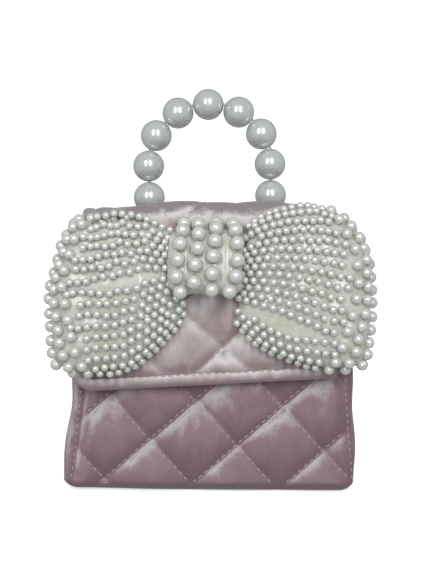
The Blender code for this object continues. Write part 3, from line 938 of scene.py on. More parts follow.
def on_flap(x, up, lift):
    """A point of the flat pattern, laid over the bend; lift is its height off the outer face."""
    x, up, lift = np.broadcast_arrays(x, up, lift)
    turn = np.clip((up - BEND_LOW) / RIDGE, 0, math.pi / 2)
    beyond = np.maximum(up - BEND_LOW - BEND_LENGTH, 0)
    y = FLAP_FRONT + RIDGE - RIDGE * np.cos(turn) + beyond
    z = np.where(up < BEND_LOW, up, BEND_LOW + RIDGE * np.sin(turn))
    y = y - lift * np.cos(turn)
    z = z + lift * np.sin(turn) - sag(x, up) * np.sin(turn) ** 0.5
    return np.stack([x, y, z], -1)


def flap_lift(x, up):
    """The quilting's height on the flap, flat near its edges, with a lazy overall wave."""
    edge = np.minimum(flap_half(up) - np.abs(x), up - flap_low(x))
    rear = PATTERN_TOP - up
    tame = smooth_step(1.5 * MM, 9 * MM, edge) * smooth_step(3 * MM, 11 * MM, rear)
    wave = (
        0.4 * MM * np.sin(x / (15 * MM) + 0.7) * np.sin(up / (19 * MM) + 1.1)
        + 0.22 * MM * np.sin(x / (5.6 * MM) - up / (7.9 * MM))
    )
    # The knot is sewn through the flap and gathers the cloth below it.
    gather_folds = (
        0.7
        * MM
        * np.cos(x / (2.9 * MM))
        * np.exp(-((x / (11 * MM)) ** 2) - ((up - 81 * MM) / (6 * MM)) ** 2)
    )
    # The handle's eyelets clamp the foam flat.
    eyelet_up = BEND_LOW + BEND_LENGTH + 4 * MM - (FLAP_FRONT + RIDGE)
    from_eyelet = (np.abs(x) - 27.4 * MM) ** 2 + (up - eyelet_up) ** 2
    tame = tame * (1 - np.exp(-((from_eyelet / (8.5 * MM) ** 2) ** 2)))
    # Over the ridge the cloth is stretched, so the pads are flatter there.
    taut = 1 - 0.6 * np.exp(-(((up - BEND_LOW - 8 * MM) / (7 * MM)) ** 2))
    return (flap_quilt.height(x, up) * taut + wave + gather_folds) * tame


# %% [markdown]
# The sheet has an outer and an inner skin that meet in a round edge, like a thin cushion. Near the edge the two skins close along a quarter circle.

# %% Make the flap's cover
FLAP_THICK = 3.2 * MM
EDGE_ROUND = 2.2 * MM
ACROSS, ALONG = 136, 150


def flap_grid(margin):
    """Flat-pattern places for a sheet that ends margin inside the flap's outline."""
    share = np.linspace(0, 1, ALONG)[:, None]
    side = np.linspace(-1, 1, ACROSS)[None, :]
    side = np.sign(side) * (1 - (1 - np.abs(side)) ** 1.15)
    x_guess = side * flap_half(BEND_LOW)
    low = flap_low(x_guess) + margin
    up = low + (PATTERN_TOP - low) * share
    above = np.clip(up - low, 0, FLAP_CORNER)
    corner = FLAP_CORNER - np.sqrt(np.maximum(FLAP_CORNER**2 - (FLAP_CORNER - above) ** 2, 0))
    half = flap_half(up) - margin - corner
    x = side * half
    edge = np.minimum(half - np.abs(x), np.minimum(up - low, PATTERN_TOP - up))
    return x, up, edge


def shell(x, up, edge, outer_lift, thick):
    """Points and faces of a sheet with a round edge, from its outer face's lift and thickness."""
    rise = np.sqrt(np.maximum(1 - (1 - np.clip(edge / EDGE_ROUND, 0, 1)) ** 2, 0))
    middle = outer_lift - thick / 2
    outside = on_flap(x, up, middle + thick / 2 * rise)
    inside = on_flap(x, up, middle - thick / 2 * rise)
    rows, columns = x.shape
    points = np.concatenate([outside.reshape(-1, 3), inside.reshape(-1, 3)])
    faces = row_faces(rows, columns)
    faces += [tuple(reversed(f)) for f in row_faces(rows, columns, first=rows * columns)]
    return points, faces


x, up, edge = flap_grid(0.0)
lift = flap_lift(x, up)
cover_points, cover_faces = shell(x, up, edge, lift, FLAP_THICK + lift)
flap_cover = new_piece(
    "flap_quilted_cover", cover_points, cover_faces, lit_flap_velvet, "flap"
)
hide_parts("flap_cover")

# %% [markdown]
# ## Binding and lining of the flap
#
# The raw edge of the quilted sheet is hidden in a binding: a strip of the same velvet, folded round the edge and sewn through. It is thicker than the sheet, so it stands proud and throws a small shadow. Its section is drawn once and carried along the flap's outline. Inside, a satin lining covers the foam.

# %% Bind and line the flap
BINDING = 5.2 * MM


def flap_edge():
    """The outline from the left rear corner down, along the lower edge and up to the right rear
    corner, as (x, up) with the inward direction."""
    side_up = np.linspace(PATTERN_TOP - 3 * MM, FLAP_LOW + FLAP_CORNER + 3 * MM, 90)
    left = np.column_stack([-flap_half(side_up), side_up])
    turns = np.linspace(0, math.pi / 2, 9)[1:-1]
    low_left = flap_low(-FLAP_HALF + FLAP_CORNER)
    half = flap_half(FLAP_LOW + FLAP_CORNER)
    corner = np.column_stack(
        [
            -half + FLAP_CORNER * (1 - np.sin(math.pi / 2 - turns)),
            low_left + FLAP_CORNER * (1 - np.sin(turns)),
        ]
    )
    low_x = np.linspace(-half + FLAP_CORNER, half - FLAP_CORNER, 100)
    low = np.column_stack([low_x, flap_low(low_x)])
    right_corner = corner[::-1] * np.array([-1, 1])
    right_corner[:, 1] += flap_low(half - FLAP_CORNER) - low_left
    right = left[::-1] * np.array([-1, 1])
    line = np.concatenate([left, corner, low, right_corner, right])
    ahead = np.gradient(line, axis=0)
    ahead /= np.linalg.norm(ahead, axis=1, keepdims=True)
    return line, np.column_stack([-ahead[:, 1], ahead[:, 0]])


BINDING_SECTION = (  # inward from the edge and out from the outer face, in mm
    (5.2, -0.4),
    (5.1, 0.35),
    (4.4, 0.85),
    (2.8, 1.15),
    (1.2, 0.95),
    (0.0, 0.3),
    (-0.5, -0.7),
    (-0.55, -2.2),
    (-0.1, -3.3),
    (1.0, -3.75),
    (3.2, -3.6),
    (3.6, -3.1),
)
line, inward = flap_edge()
points = []
for i, (place, way) in enumerate(zip(line, inward)):
    plump = 1 + 0.10 * math.sin(i * 0.61) + 0.07 * math.sin(i * 1.37)
    for a, b in BINDING_SECTION:
        at = place + way * a * MM
        proud = b * plump if b > 0 else b
        points.append(on_flap(at[0], at[1], proud * MM))
count = len(BINDING_SECTION)
faces = row_faces(len(line), count, closed=True)
faces += [tuple(range(count)), tuple(range(len(points) - 1, len(points) - 1 - count, -1))]
binding = new_piece("flap_binding", points, faces, lit_flap_velvet, "flap")
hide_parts("flap_hem")

inner = line + inward * 4.3 * MM
cloth = on_flap(inner[:, 0], inner[:, 1], np.full(len(line), 0.9 * MM))
out = on_flap(inner[:, 0], inner[:, 1], np.full(len(line), 1.9 * MM)) - cloth
cloth = lay_on(surface_of(binding), cloth, out, reach=3 * MM)
parts = [dashes(cloth, out, length=2.0 * MM, gap=1.2 * MM)]
flap_surface = surface_of(flap_cover)


def inside_flap(x, up):
    return (
        (np.abs(x) < flap_half(up) - BINDING - 0.5 * MM)
        & (up > flap_low(x) + BINDING + 0.3 * MM)
        & (up < PATTERN_TOP - 5 * MM)
    )


for sewn in flap_quilt.lines(inside_flap):
    lift = flap_lift(sewn[:, 0], sewn[:, 1])
    cloth = on_flap(sewn[:, 0], sewn[:, 1], lift)
    out = on_flap(sewn[:, 0], sewn[:, 1], lift + MM) - cloth
    parts.append(dashes(lay_on(flap_surface, cloth, out, reach=4 * MM), out))
stitch_points, stitch_faces = gather(parts)
new_piece("flap_stitches", stitch_points, stitch_faces, pink_thread, "flap")

x, up, edge = flap_grid(3.0 * MM)
puckers = 0.12 * MM * np.sin(x / (2.3 * MM)) * np.exp(-edge / (5 * MM))
lining_points, lining_faces = shell(x, up, edge, -4.15 * MM + puckers, 0.8 * MM)
flap_lining = new_piece(
    "flap_satin_lining", lining_points, lining_faces, satin, "flap"
)
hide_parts("flap_lining")

# %% [markdown]
# ## Piping and fold at the hinge
#
# The flap turns about a round piping that is sewn on top of the back panel. A strip of velvet covers the seam: it
# starts on the back, lies over the piping and ends on the flap. When the flap opens, the strip has to stay sewn at both
# ends, so its points lie on circles about the piping. It is left on neither body.

# %% Make the piping and its strip
HINGE_Y, HINGE_Z = 23.0 * MM, 118.5 * MM
PIPING = 2.0 * MM
piping_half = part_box("hinge_piping")[1].x
points, faces = [], []
for step in range(91):
    across = -piping_half + 2 * piping_half * step / 90
    at_end = min(step, 90 - step)
    radius = PIPING * min(1.0, 0.55 + 0.2 * at_end) * (1 + 0.02 * math.sin(step * 1.9))
    for k in range(20):
        turn = 2 * math.pi * k / 20
        points.append(
            (across, HINGE_Y + radius * math.cos(turn), HINGE_Z + radius * math.sin(turn))
        )
faces = row_faces(91, 20, closed=True)
faces += [tuple(range(19, -1, -1)), tuple(range(90 * 20, 91 * 20))]
piping = new_piece("piping", points, faces, body_velvet, "bag")
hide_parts("hinge_piping")

STRIP = 0.55 * MM
strip_line = [(HINGE_Y + 2.75 * MM, HINGE_Z - drop * MM) for drop in (4.6, 3.2, 1.6)]
for step in range(9):
    turn = step / 8 * math.pi / 2
    strip_line.append(
        (HINGE_Y + 2.75 * MM * math.cos(turn), HINGE_Z + 2.75 * MM * math.sin(turn))
    )
strip_line += [(HINGE_Y - ahead * MM, HINGE_Z + 2.75 * MM) for ahead in (1.5, 3.0, 4.6, 6.2)]
strip_line = np.array(strip_line)
ahead = np.gradient(strip_line, axis=0)
ahead /= np.linalg.norm(ahead, axis=1, keepdims=True)
outward = np.column_stack([ahead[:, 1], -ahead[:, 0]])
if outward[0][0] < 0:
    outward = -outward
around = np.concatenate([strip_line, (strip_line - outward * STRIP)[::-1]])
points = []
for step in range(101):
    across = (-1 + 2 * step / 100) * (piping_half - 0.6 * MM)
    swell = 0.12 * MM * math.sin(step * 0.9) + 0.08 * MM * math.sin(step * 2.3)
    for i, (y, z) in enumerate(around):
        out = outward[i] * swell if i < len(strip_line) else (0, 0)
        points.append((across, y + out[0], z + out[1]))
count = len(around)
faces = row_faces(101, count, closed=True)
faces += [tuple(range(count - 1, -1, -1)), tuple(range(100 * count, 101 * count))]
strip = new_piece("hinge_strip", points, faces, body_velvet, None)
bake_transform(strip)

# %% [markdown]
# ## Inside the bag
#
# The lining is a satin pocket that hangs from a seam round the mouth and rests on the board. Satin is thin and slippery, so its walls are never flat: they hang in shallow upright folds that are held straight at the seam and at the bottom.

# %% Make the bag's lining
lining_low, lining_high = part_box("bag_lining")
lining_floor, lining_top = lining_low.z, lining_high.z
half_y = lining_high.y
LINING = 0.8 * MM


def lining_loop(z, inset):
    base = lining_high.x - (0.057 * (z - lining_floor)) - inset
    return outline(base, half_y - inset, max(3.0 * MM - inset, 1.2 * MM), straight=(76, 28), arc=5)


rows_in = []
for inset, rows_z in ((0.0, np.linspace(0, 1, 40)), (LINING, np.linspace(1, 0, 40))):
    for share in rows_z:
        z = lining_floor + (lining_top - lining_floor) * share
        if inset:
            z = max(z, lining_floor + LINING)
        loop, out = lining_loop(z, inset)
        hang = math.sin(math.pi * share) ** 0.7
        walk = np.arange(len(loop))
        fold = -0.16 * MM * hang * (1 + np.sin(walk * 0.55) + 0.6 * np.sin(walk * 1.27 + 1))
        loop = loop + out * fold[:, None]
        rows_in.append(np.column_stack([loop, np.full(len(loop), z)]))
floor_under = []
floor_over = []
for share in np.linspace(0.0, 1.0, 10)[:-1]:
    for row, kept in ((rows_in[0], floor_under), (rows_in[-1], floor_over)):
        ring = row.copy()
        ring[:, 1] *= share
        ring[:, 0] *= 1 - (1 - share) * half_y / (lining_high.x)
        kept.append(ring)
pocket = np.array(floor_under + rows_in + floor_over[::-1])
bag_lining = new_piece(
    "satin_pocket",
    pocket.reshape(-1, 3),
    row_faces(len(pocket), pocket.shape[1], closed=True),
    satin,
    "bag",
)
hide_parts("bag_lining")

# %% [markdown]
# ## One pearl
#
# Every pearl is a turned bead with a small hole for its thread, so one profile serves all sizes. Small pearls get fewer faces. A bead is turned until its hole lies along the thread, which only shows on the larger ones, where the rim of the hole makes a tiny dark ring.

# %% Pearl helper


def pearl_shape(radius, bore, rings, sides, dent=0.0):
    """Points and faces of a bead about local Z with a bore rim sunk at each end."""
    start = math.asin(bore / radius)
    angles = np.linspace(start, math.pi - start, rings)
    profile = [(0.0, radius * math.cos(start) - dent - 0.25 * bore)]
    profile += [(0.72 * bore, radius * math.cos(start) - dent - 0.2 * bore)]
    profile += [(radius * math.sin(a), radius * math.cos(a)) for a in angles]
    profile += [(0.72 * bore, -profile[1][1]), (0.0, -profile[0][1])]
    turns = 2 * math.pi * np.arange(sides) / sides
    points = [(0.0, 0.0, profile[0][1])]
    for r, z in profile[1:-1]:
        points += [(r * math.cos(t), r * math.sin(t), z) for t in turns]
    points.append((0.0, 0.0, profile[-1][1]))
    rows = len(profile) - 2
    faces = row_faces(rows, sides, closed=True, first=1)
    faces += [(0, 1 + (k + 1) % sides, 1 + k) for k in range(sides)]
    last = len(points) - 1
    low = 1 + (rows - 1) * sides
    faces += [(last, low + k, low + (k + 1) % sides) for k in range(sides)]
    return np.array(points), faces


def turn_to(direction):
    """The rotation that takes local Z to a direction."""
    return np.array(Vector(direction).to_track_quat("Z", "Y").to_matrix())


def pearls(shape, places, directions, size=1.0):
    """Copies of a bead at these places, as one set of points and faces."""
    points, faces = shape
    parts = []
    for place, direction in zip(places, directions):
        parts.append((size * points @ turn_to(direction).T + place, faces))
    return gather(parts)


SMALL, BORDER, LARGE = 1.65 * MM, 2.4 * MM, 3.0 * MM
small_pearl = pearl_shape(SMALL, 0.4 * MM, 11, 16)
border_pearl = pearl_shape(BORDER, 0.5 * MM, 15, 22)
knot_pearl = pearl_shape(LARGE, 0.55 * MM, 19, 28)
handle_bead = pearl_shape(7.0 * MM, 1.0 * MM, 33, 48)
print("a small pearl has", len(small_pearl[1]), "faces and a handle bead", len(handle_bead[1]))

# %% [markdown]
# ## The handle
#
# Nine large pearls are strung tight on a nylon cord. The frame already knows where each one sits, so each bead is placed at the middle of its frame bead and turned so that the cord runs through it. The arch leans over by less than two degrees, because a strung handle never stands quite straight.

# %% String the handle
HANDLE_LEAN = math.radians(1.7)
centres = []
for number in range(1, 10):
    low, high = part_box(f"handle_bead_{number}")
    centres.append((np.array(low) + np.array(high)) / 2)
foot = (centres[0] + centres[8]) / 2
lean = np.array(Matrix.Rotation(-HANDLE_LEAN, 3, "Y"))
centres = [foot + lean @ (centre - foot) for centre in centres]
for number, centre in enumerate(centres, start=1):
    before = centres[max(number - 2, 0)]
    after = centres[min(number, 8)]
    run = after - before
    if number in (1, 9):
        run = np.array([0, 0, 1.0])
    points, faces = pearls(handle_bead, [centre], [run])
    bead = new_piece(
        f"handle_pearl_{number}", points, faces, handle_pearl, "handle"
    )
    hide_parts(f"handle_bead_{number}")

# %% [markdown]
# ## The bow's wings
#
# Each wing is a stuffed pouch of ivory film with its pearls in rows that fan out from the knot. Along the far edge run three columns of larger pearls: one on the face, one on the shoulder, and one round on the rim.
#
# The wing's surface is spanned between four curves: its upper edge, its lower edge, the inner edge at the knot, and the innermost border column. A surface between four curves is called a Coons patch. It bends exactly as its edges do, so rows of pearls laid on it fan and curve like the sewn ones. How far it bulges depends only on the distance to the outline, like a pillow's.
#
# The two wings aren't mirror images, so each has its own curves. Their points are listed in millimetres.

# %% Curves of the wings
BOW_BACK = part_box("bow_left_wing")[1].y


def smooth_line(points, count):
    """Points evenly spaced on a smooth curve through the given ones."""
    points = np.array(points, float)
    padded = np.vstack([2 * points[0] - points[1], points, 2 * points[-1] - points[-2]])
    fine = []
    for a, b, c, d in zip(padded, padded[1:], padded[2:], padded[3:]):
        t = np.linspace(0, 1, 24, endpoint=False)[:, None]
        fine.append(
            0.5
            * (
                2 * b
                + (c - a) * t
                + (2 * a - 5 * b + 4 * c - d) * t**2
                + (3 * b - a - 3 * c + d) * t**3
            )
        )
    fine = np.vstack([*fine, points[-1:]])
    walked = np.concatenate([[0], np.cumsum(np.linalg.norm(np.diff(fine, axis=0), axis=1))])
    at = np.linspace(0, walked[-1], count)
    return np.stack([np.interp(at, walked, fine[:, k]) for k in range(fine.shape[1])], -1)


WINGS = {
    "left": {
        "upper": (
            (-16.6, 110.6), (-21.6, 112.6), (-28.6, 115.2), (-36.1, 116.4), (-43.0, 115.2),
            (-49.2, 113.4),
        ),
        "lower": (
            (-10.9, 77.0), (-12.9, 72.6), (-18.6, 65.6), (-24.2, 59.8), (-31.6, 54.4), (-40.0, 51.7),
            (-49.6, 51.6),
        ),
        "face": (
            (-50.1, 115.4), (-54.1, 112.1), (-56.6, 105.5), (-58.7, 100.2), (-60.4, 94.8),
            (-61.4, 89.0), (-60.9, 82.5), (-59.5, 76.4), (-58.3, 70.3), (-57.0, 64.0), (-54.4, 57.2),
            (-50.6, 51.1),
        ),
        "shoulder": (
            (-55.2, 115.0), (-58.7, 109.2), (-60.4, 103.2), (-62.2, 97.7), (-64.0, 92.1), (-65.1, 86.5),
            (-64.9, 81.0), (-63.9, 75.3), (-63.0, 69.5), (-61.9, 63.3), (-60.2, 57.2), (-57.0, 51.2),
        ),
        "rim": (
            (-57.2, 113.2), (-61.2, 106.4), (-63.2, 100.4), (-65.2, 94.0), (-67.0, 87.0), (-67.2, 80.8),
            (-66.9, 74.2), (-66.5, 67.8), (-66.0, 61.2), (-64.0, 55.0),
        ),
        "loose_row": 7,
        "loose": 0.9,
        "pitch": (3.5, 4.0, 3.75),
    },
    "right": {
        "upper": (
            (14.6, 112.4), (17.8, 115.6), (24.5, 119.0), (31.5, 121.1), (38.9, 121.9), (47.4, 120.2),
        ),
        "lower": (
            (10.3, 73.4), (14.6, 68.2), (20.4, 63.2), (28.0, 59.4), (36.2, 56.4), (43.4, 54.6),
            (48.8, 54.0),
        ),
        "face": (
            (49.6, 119.8), (53.4, 115.2), (56.4, 109.8), (58.8, 104.3), (60.2, 98.3), (60.9, 92.1),
            (60.2, 85.7), (58.9, 79.2), (57.0, 73.0), (55.1, 66.7), (53.2, 60.2), (49.6, 53.7),
        ),
        "shoulder": (
            (55.4, 117.0), (59.6, 111.6), (62.8, 106.8), (64.4, 101.4), (64.6, 95.8), (64.8, 89.9),
            (64.7, 84.2), (63.9, 78.2), (62.5, 72.2), (61.1, 66.0), (59.4, 60.0), (56.4, 53.8),
        ),
        "rim": (
            (58.4, 112.2), (62.0, 107.4), (64.8, 101.8), (66.3, 95.2), (67.1, 88.0), (67.5, 81.4),
            (67.4, 75.2), (66.8, 69.0), (65.8, 62.2), (63.7, 55.8),
        ),
        "loose_row": 12,
        "loose": 1.5,
        "pitch": (3.35, 4.15, 3.85),
    },
}

# %% [markdown]
# ## The wing's surface
#
# Two things are worked out from the curves: the flat patch that the rows of pearls follow, and the outline of the whole wing. Both are plain points, so they can be bulged afterwards.

# %% Span the wing between its curves
ROWS = 17
PATCH_T, PATCH_S = 70, 90


def wing_patch(wing):
    """The patch's flat places as [t, s]: t runs from the knot to the border, s from top to bottom."""
    t = np.linspace(0, 1, PATCH_T)
    s = np.linspace(0, 1, PATCH_S)
    upper = smooth_line(wing["upper"], PATCH_T)
    lower = smooth_line(wing["lower"], PATCH_T)
    face = smooth_line(wing["face"], PATCH_S)
    inner = upper[0] + (lower[0] - upper[0]) * s[:, None]
    upper = upper + t[:, None] * (face[0] - upper[-1])
    lower = lower + t[:, None] * (face[-1] - lower[-1])
    tt, ss = t[:, None, None], s[None, :, None]
    patch = (1 - tt) * inner[None] + tt * face[None] + (1 - ss) * upper[:, None] + ss * lower[:, None]
    patch -= (
        (1 - tt) * (1 - ss) * upper[0]
        + (1 - tt) * ss * lower[0]
        + tt * (1 - ss) * upper[-1]
        + tt * ss * lower[-1]
    )
    return patch * MM


def wing_outline(wing):
    """The closed outline through the outermost pearls, in metres."""
    upper = smooth_line(wing["upper"], 40)
    rim = smooth_line(
        [wing["face"][0], wing["shoulder"][0], *wing["rim"], wing["shoulder"][-1], wing["face"][-1]], 90
    )
    lower = smooth_line(wing["lower"], 40)[::-1]
    loop = np.vstack([upper, rim, lower])
    return loop * MM


def distance_to(loop, places):
    """The distance of each place from a closed line."""
    a, b = loop, np.roll(loop, -1, axis=0)
    flat = places.reshape(-1, 2)
    best = np.full(len(flat), 1e9)
    for p, q in zip(a, b):
        d = q - p
        share = np.clip(((flat - p) @ d) / max(d @ d, 1e-12), 0, 1)
        best = np.minimum(best, np.linalg.norm(flat - (p + share[:, None] * d), axis=1))
    return best.reshape(places.shape[:-1])


PILLOW_DEPTH = 9.0 * MM
PILLOW_EDGE = 10.5 * MM


def wing_depth(places, loop):
    """Y of the surface through the pearls' middles at these (x, z) places."""
    gap = distance_to(loop, places)
    share = np.clip(gap / PILLOW_EDGE, 0, 1)
    pillow = np.sqrt(np.maximum(1 - (1 - share) ** 2, 0))
    crown = 1.3 * MM * smooth_step(8 * MM, 26 * MM, gap)
    near_knot = smooth_step(10 * MM, 30 * MM, np.abs(places[..., 0]))
    crease = (
        0.55
        * MM
        * np.sin(places[..., 1] / (3.1 * MM) + places[..., 0] / (15 * MM))
        * (1 - smooth_step(14 * MM, 42 * MM, np.abs(places[..., 0])))
        * share
    )
    full = 0.55 + 0.45 * near_knot
    return BOW_BACK - 3.4 * MM - (PILLOW_DEPTH - 1.6 * MM) * pillow * full - crown - crease


# %% [markdown]
# The film lies just under the pearls, as a closed pouch. Its front is the surface moved in by most of a pearl's radius, and its back is nearly flat against the flap. Fine wrinkles run across it where it is gathered at the knot.

# %% Make the film pouches


def film_pouch(name, wing):
    loop = wing_outline(wing)
    face = smooth_line(wing["face"], PATCH_S) * MM
    shoulder = smooth_line([wing["face"][0], *wing["shoulder"], wing["face"][-1]], PATCH_S) * MM
    round_the_rim = [
        wing["face"][0],
        wing["shoulder"][0],
        *wing["rim"],
        wing["shoulder"][-1],
        wing["face"][-1],
    ]
    rim = smooth_line(round_the_rim, PATCH_S) * MM
    patch = wing_patch(wing)
    beyond = []
    for share in np.linspace(0, 1, 14)[1:]:
        beyond.append((1 - share) ** 2 * face + 2 * share * (1 - share) * shoulder + share**2 * rim)
    flat = np.concatenate([patch, np.array(beyond)])
    depth = wing_depth(flat, loop)
    gap = distance_to(loop, flat)
    middle = loop.mean(axis=0)
    pull = np.clip(1 - gap / (9 * MM), 0, 1)[..., None] * 0.5 * MM
    toward = middle - flat
    toward /= np.maximum(np.linalg.norm(toward, axis=-1, keepdims=True), 1e-6)
    front = flat + toward * pull
    wrinkle = 0.14 * MM * np.sin(flat[..., 0] / (1.7 * MM) + 3 * np.sin(flat[..., 1] / (8 * MM)))
    wrinkle += 0.10 * MM * np.sin(flat[..., 1] / (1.3 * MM))
    front_y = depth + 1.3 * MM + wrinkle * np.clip(gap / (4 * MM), 0, 1)
    back_y = np.full(front_y.shape, BOW_BACK + 0.1 * MM) - 1.2 * MM * np.clip(1 - gap / (5 * MM), 0, 1)
    rows, columns = front_y.shape
    front_points = np.stack([front[..., 0], front_y, front[..., 1]], -1).reshape(-1, 3)
    back_points = np.stack([front[..., 0], back_y, front[..., 1]], -1).reshape(-1, 3)
    faces = row_faces(rows, columns)
    faces += [tuple(reversed(f)) for f in row_faces(rows, columns, first=rows * columns)]
    edge = (
        [r * columns for r in range(rows)]
        + [(rows - 1) * columns + c for c in range(1, columns)]
        + [r * columns + columns - 1 for r in range(rows - 2, -1, -1)]
        + [c for c in range(columns - 2, 0, -1)]
    )
    total = rows * columns
    for i, j in zip(edge, edge[1:] + edge[:1]):
        faces.append((i, j, j + total, i + total))
    pouch = new_piece(name, np.vstack([front_points, back_points]), faces, ivory_film, "flap")
    return pouch, loop


wing_loops = {}
for side in ("left", "right"):
    pouch, wing_loops[side] = film_pouch(f"bow_{side}_pouch", WINGS[side])
    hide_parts(f"bow_{side}_wing")

# %% [markdown]
# ## Pearls on the wings
#
# The larger border pearls go on first. Then each row of small pearls is walked from the knot outwards. The pearls are 3.3 mm wide and sit 3.4 to 4.1 mm apart, closest in the top rows. Near the knot the rows run into each other and a sewer leaves pearls out, so a pearl is left out here too where it would touch one that is already there. Each is nudged by a tenth of a millimetre or two, because no two are glued alike. The nudges come from a seeded generator, so the bow is the same each time.

# %% Sew on the wing pearls
nudge = np.random.default_rng(7)


def surface_place(flat, loop):
    flat = np.atleast_2d(flat)
    return np.column_stack([flat[:, 0], wing_depth(flat, loop), flat[:, 1]])


def row_curves(wing, loop):
    """The rows as lines of points, evenly spread over the surface, with one looser gap."""
    patch = wing_patch(wing)
    depth = wing_depth(patch, loop)
    surface = np.stack([patch[..., 0], depth, patch[..., 1]], -1)
    rows = np.zeros((ROWS, PATCH_T, 3))
    for j in range(PATCH_T):
        t = j / (PATCH_T - 1)
        spaces = np.ones(ROWS - 1)
        spaces[wing["loose_row"]] += wing["loose"] * math.sin(math.pi * min(t / 0.8, 1)) ** 0.8
        shares = np.concatenate([[0], np.cumsum(spaces)]) / spaces.sum()
        line = surface[j]
        walked = np.concatenate([[0], np.cumsum(np.linalg.norm(np.diff(line, axis=0), axis=1))])
        at = shares * walked[-1]
        rows[:, j] = np.stack([np.interp(at, walked, line[:, k]) for k in range(3)], -1)
    return rows


def strung(line, pitch, start):
    """Places and directions every pitch along a line of points."""
    walked = np.concatenate([[0], np.cumsum(np.linalg.norm(np.diff(line, axis=0), axis=1))])
    at = np.arange(start, walked[-1], pitch)
    places = np.stack([np.interp(at, walked, line[:, k]) for k in range(3)], -1)
    ahead = np.stack([np.interp(at + pitch / 9, walked, line[:, k]) for k in range(3)], -1)
    behind = np.stack([np.interp(at - pitch / 9, walked, line[:, k]) for k in range(3)], -1)
    return places, ahead - behind


def border_column(points, loop, set_back, count):
    line = surface_place(smooth_line(points, 160) * MM, loop)
    line[:, 1] += set_back
    walked = np.concatenate([[0], np.cumsum(np.linalg.norm(np.diff(line, axis=0), axis=1))])
    return strung(line, walked[-1] / (count - 1) * 0.9999, 0.0)


for side in ("left", "right"):
    wing, loop = WINGS[side], wing_loops[side]
    columns = [
        border_column(wing["face"], loop, -0.6 * MM, 12),
        border_column(wing["shoulder"], loop, 0.0, 14),
        border_column(wing["rim"], loop, 0.4 * MM, 12),
    ]
    placed = np.vstack([places for places, _ in columns])
    sizes = np.full(len(placed), BORDER)
    small, directions = [], []
    order = [*range(0, ROWS, 2), *range(1, ROWS, 2)]
    curves = row_curves(wing, loop)
    for number in order:
        pitch = float(np.interp(number, (2, 8, 14), wing["pitch"])) * MM
        places, ways = strung(curves[number], pitch, (0.3 + 0.5 * (number % 2)) * pitch)
        for place, way in zip(places, ways):
            near = np.linalg.norm(placed - place, axis=1) - sizes - SMALL
            if near.min() < -0.7 * MM:
                continue
            small.append(place + nudge.normal(0, 0.13 * MM, 3))
            directions.append(way)
            placed = np.vstack([placed, place])
            sizes = np.append(sizes, SMALL)
    points, faces = pearls(small_pearl, small, directions)
    new_piece(f"bow_{side}_row_pearls", points, faces, bow_pearl, "flap")
    for label, size, (places, ways) in zip(("face", "shoulder", "rim"), (0.93, 0.98, 1.04), columns):
        places = places + nudge.normal(0, 0.15 * MM, places.shape)
        points, faces = pearls(border_pearl, places, ways, size)
        column = new_piece(f"bow_{side}_{label}_column", points, faces, bow_pearl, "flap")
        if label == "face":
            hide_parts(f"bow_{side}_face_pearls")
        if label == "rim":
            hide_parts(f"bow_{side}_rim_pearls")
    print(side, "wing has", len(small), "small pearls")

# %% [markdown]
# ## The knot
#
# The knot is a padded band of the same film, wrapped over the bow's waist, with four strings of the largest bow pearls. Seen from the side it leans back at the top and turns sharply under at the bottom, where the sewer pulled it tight, so its section is one smooth line through a few points. The strings don't lie quite side by side: between the third and the fourth the film shows.

# %% Wrap the knot
KNOT_SECTION = (  # height, and reach in front of the bow's back, of the pearls' middles in mm
    (114.2, 0.6),
    (113.8, 4.4),
    (112.5, 8.2),
    (109.9, 11.4),
    (105.9, 13.8),
    (100.3, 15.4),
    (93.2, 16.0),
    (87.6, 15.4),
    (84.2, 13.2),
    (82.4, 9.6),
    (81.8, 4.8),
    (81.8, 0.6),
)
knot_line = smooth_line(KNOT_SECTION, 160)
knot_ahead = np.gradient(knot_line, axis=0)
knot_ahead /= np.linalg.norm(knot_ahead, axis=1, keepdims=True)
knot_outward = np.column_stack([-knot_ahead[:, 1], knot_ahead[:, 0]])
knot_outward *= np.sign(knot_outward[80][1])


def knot_surface(depth):
    """(y, z) points over the knot from top to bottom, depth inside the pearls' middles."""
    moved = knot_line * MM - knot_outward * depth
    return np.column_stack([BOW_BACK - moved[:, 1], moved[:, 0]])


BAND_LEFT, BAND_RIGHT = -17.0 * MM, 13.4 * MM
BAND_COLUMNS = 60
points = []
for i in range(BAND_COLUMNS):
    share = i / (BAND_COLUMNS - 1)
    x = BAND_LEFT + (BAND_RIGHT - BAND_LEFT) * share
    edge = min(share, 1 - share) * (BAND_RIGHT - BAND_LEFT)
    sink = 2.6 * MM + 2.4 * MM * (1 - min(edge / (3.0 * MM), 1)) ** 2
    fold = 0.22 * MM * math.sin(x / (1.3 * MM)) + 0.12 * MM * math.sin(x / (0.6 * MM) + 2)
    section = knot_surface(sink + fold)
    lean = -1.2 * MM * np.sin(np.linspace(0, math.pi, 160))
    points += [(x + move, y, z) for move, (y, z) in zip(lean, section)]
faces = row_faces(BAND_COLUMNS, 160, closed=True)
faces += [
    tuple(range(159, -1, -1)),
    tuple(range((BAND_COLUMNS - 1) * 160, BAND_COLUMNS * 160)),
]
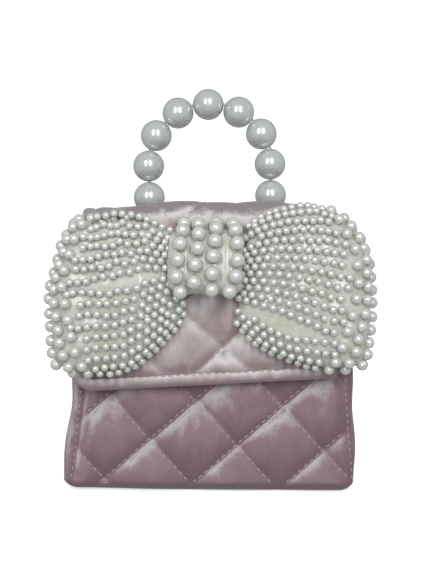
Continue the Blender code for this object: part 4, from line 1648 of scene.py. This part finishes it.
band = new_piece("bow_knot_band", points, faces, ivory_film, "flap")
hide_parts("bow_knot")

KNOT_STRINGS = (  # (height, x) places that each string runs through, lowest pearl first, in mm
    ((85.0, -13.0), (92.3, -14.5), (99.4, -14.0), (105.3, -13.1), (109.9, -12.0), (113.6, -11.4)),
    ((89.4, -7.4), (96.4, -6.8), (103.7, -5.9), (108.3, -5.4), (113.6, -5.2)),
    ((86.2, 0.1), (93.2, 0.1), (100.1, 0.4), (106.7, 1.2), (113.6, 1.7)),
    ((85.7, 7.2), (92.7, 10.1), (99.3, 10.3), (105.5, 10.2), (110.2, 9.4), (113.6, 9.0)),
)
KNOT_PITCH = 6.9 * MM
for number, string in enumerate(KNOT_STRINGS, start=1):
    run = knot_line[::-1]
    run = run[(run[:, 0] >= string[0][0]) & (run[:, 1] > 1.0)]
    start = np.argmax(run[:, 1] > 12.5)
    run = run[start:]
    heights, across = np.array(string).T
    line = np.column_stack([np.interp(run[:, 0], heights, across), -run[:, 1], run[:, 0]]) * MM
    line[:, 1] += BOW_BACK
    places, ways = strung(line, KNOT_PITCH, 0.0)
    places = places + nudge.normal(0, 0.12 * MM, places.shape)
    points, faces = pearls(knot_pearl, places, ways)
    beads = new_piece(f"knot_string_{number}", points, faces, bow_pearl, "flap")
    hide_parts(f"knot_strand_{number}")
    print("string", number, "has", len(places), "pearls")

# %% [markdown]
# ## Finish the frame's own pieces
#
# Metal, cord and board keep the frame's shapes, which are already right, and get their finishes here. The felt disc that holds the bow on the flap gets the film's colour.

# %% Give the frame pieces their finish


def finish_node(name, material):
    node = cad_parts[name]
    node.data.materials.clear()
    node.data.materials.append(material)


for name in (
    "snap_socket",
    "snap_socket_washer",
    "snap_stud",
    "snap_stud_washer",
    "left_eyelet",
    "right_eyelet",
    "left_crimp",
    "right_crimp",
):
    finish_node(name, nickel)
for name in ("handle_cord", "left_cord_end", "right_cord_end"):
    finish_node(name, clear_nylon)
finish_node("base_board", grey_board)
finish_node("bow_backing", ivory_film)
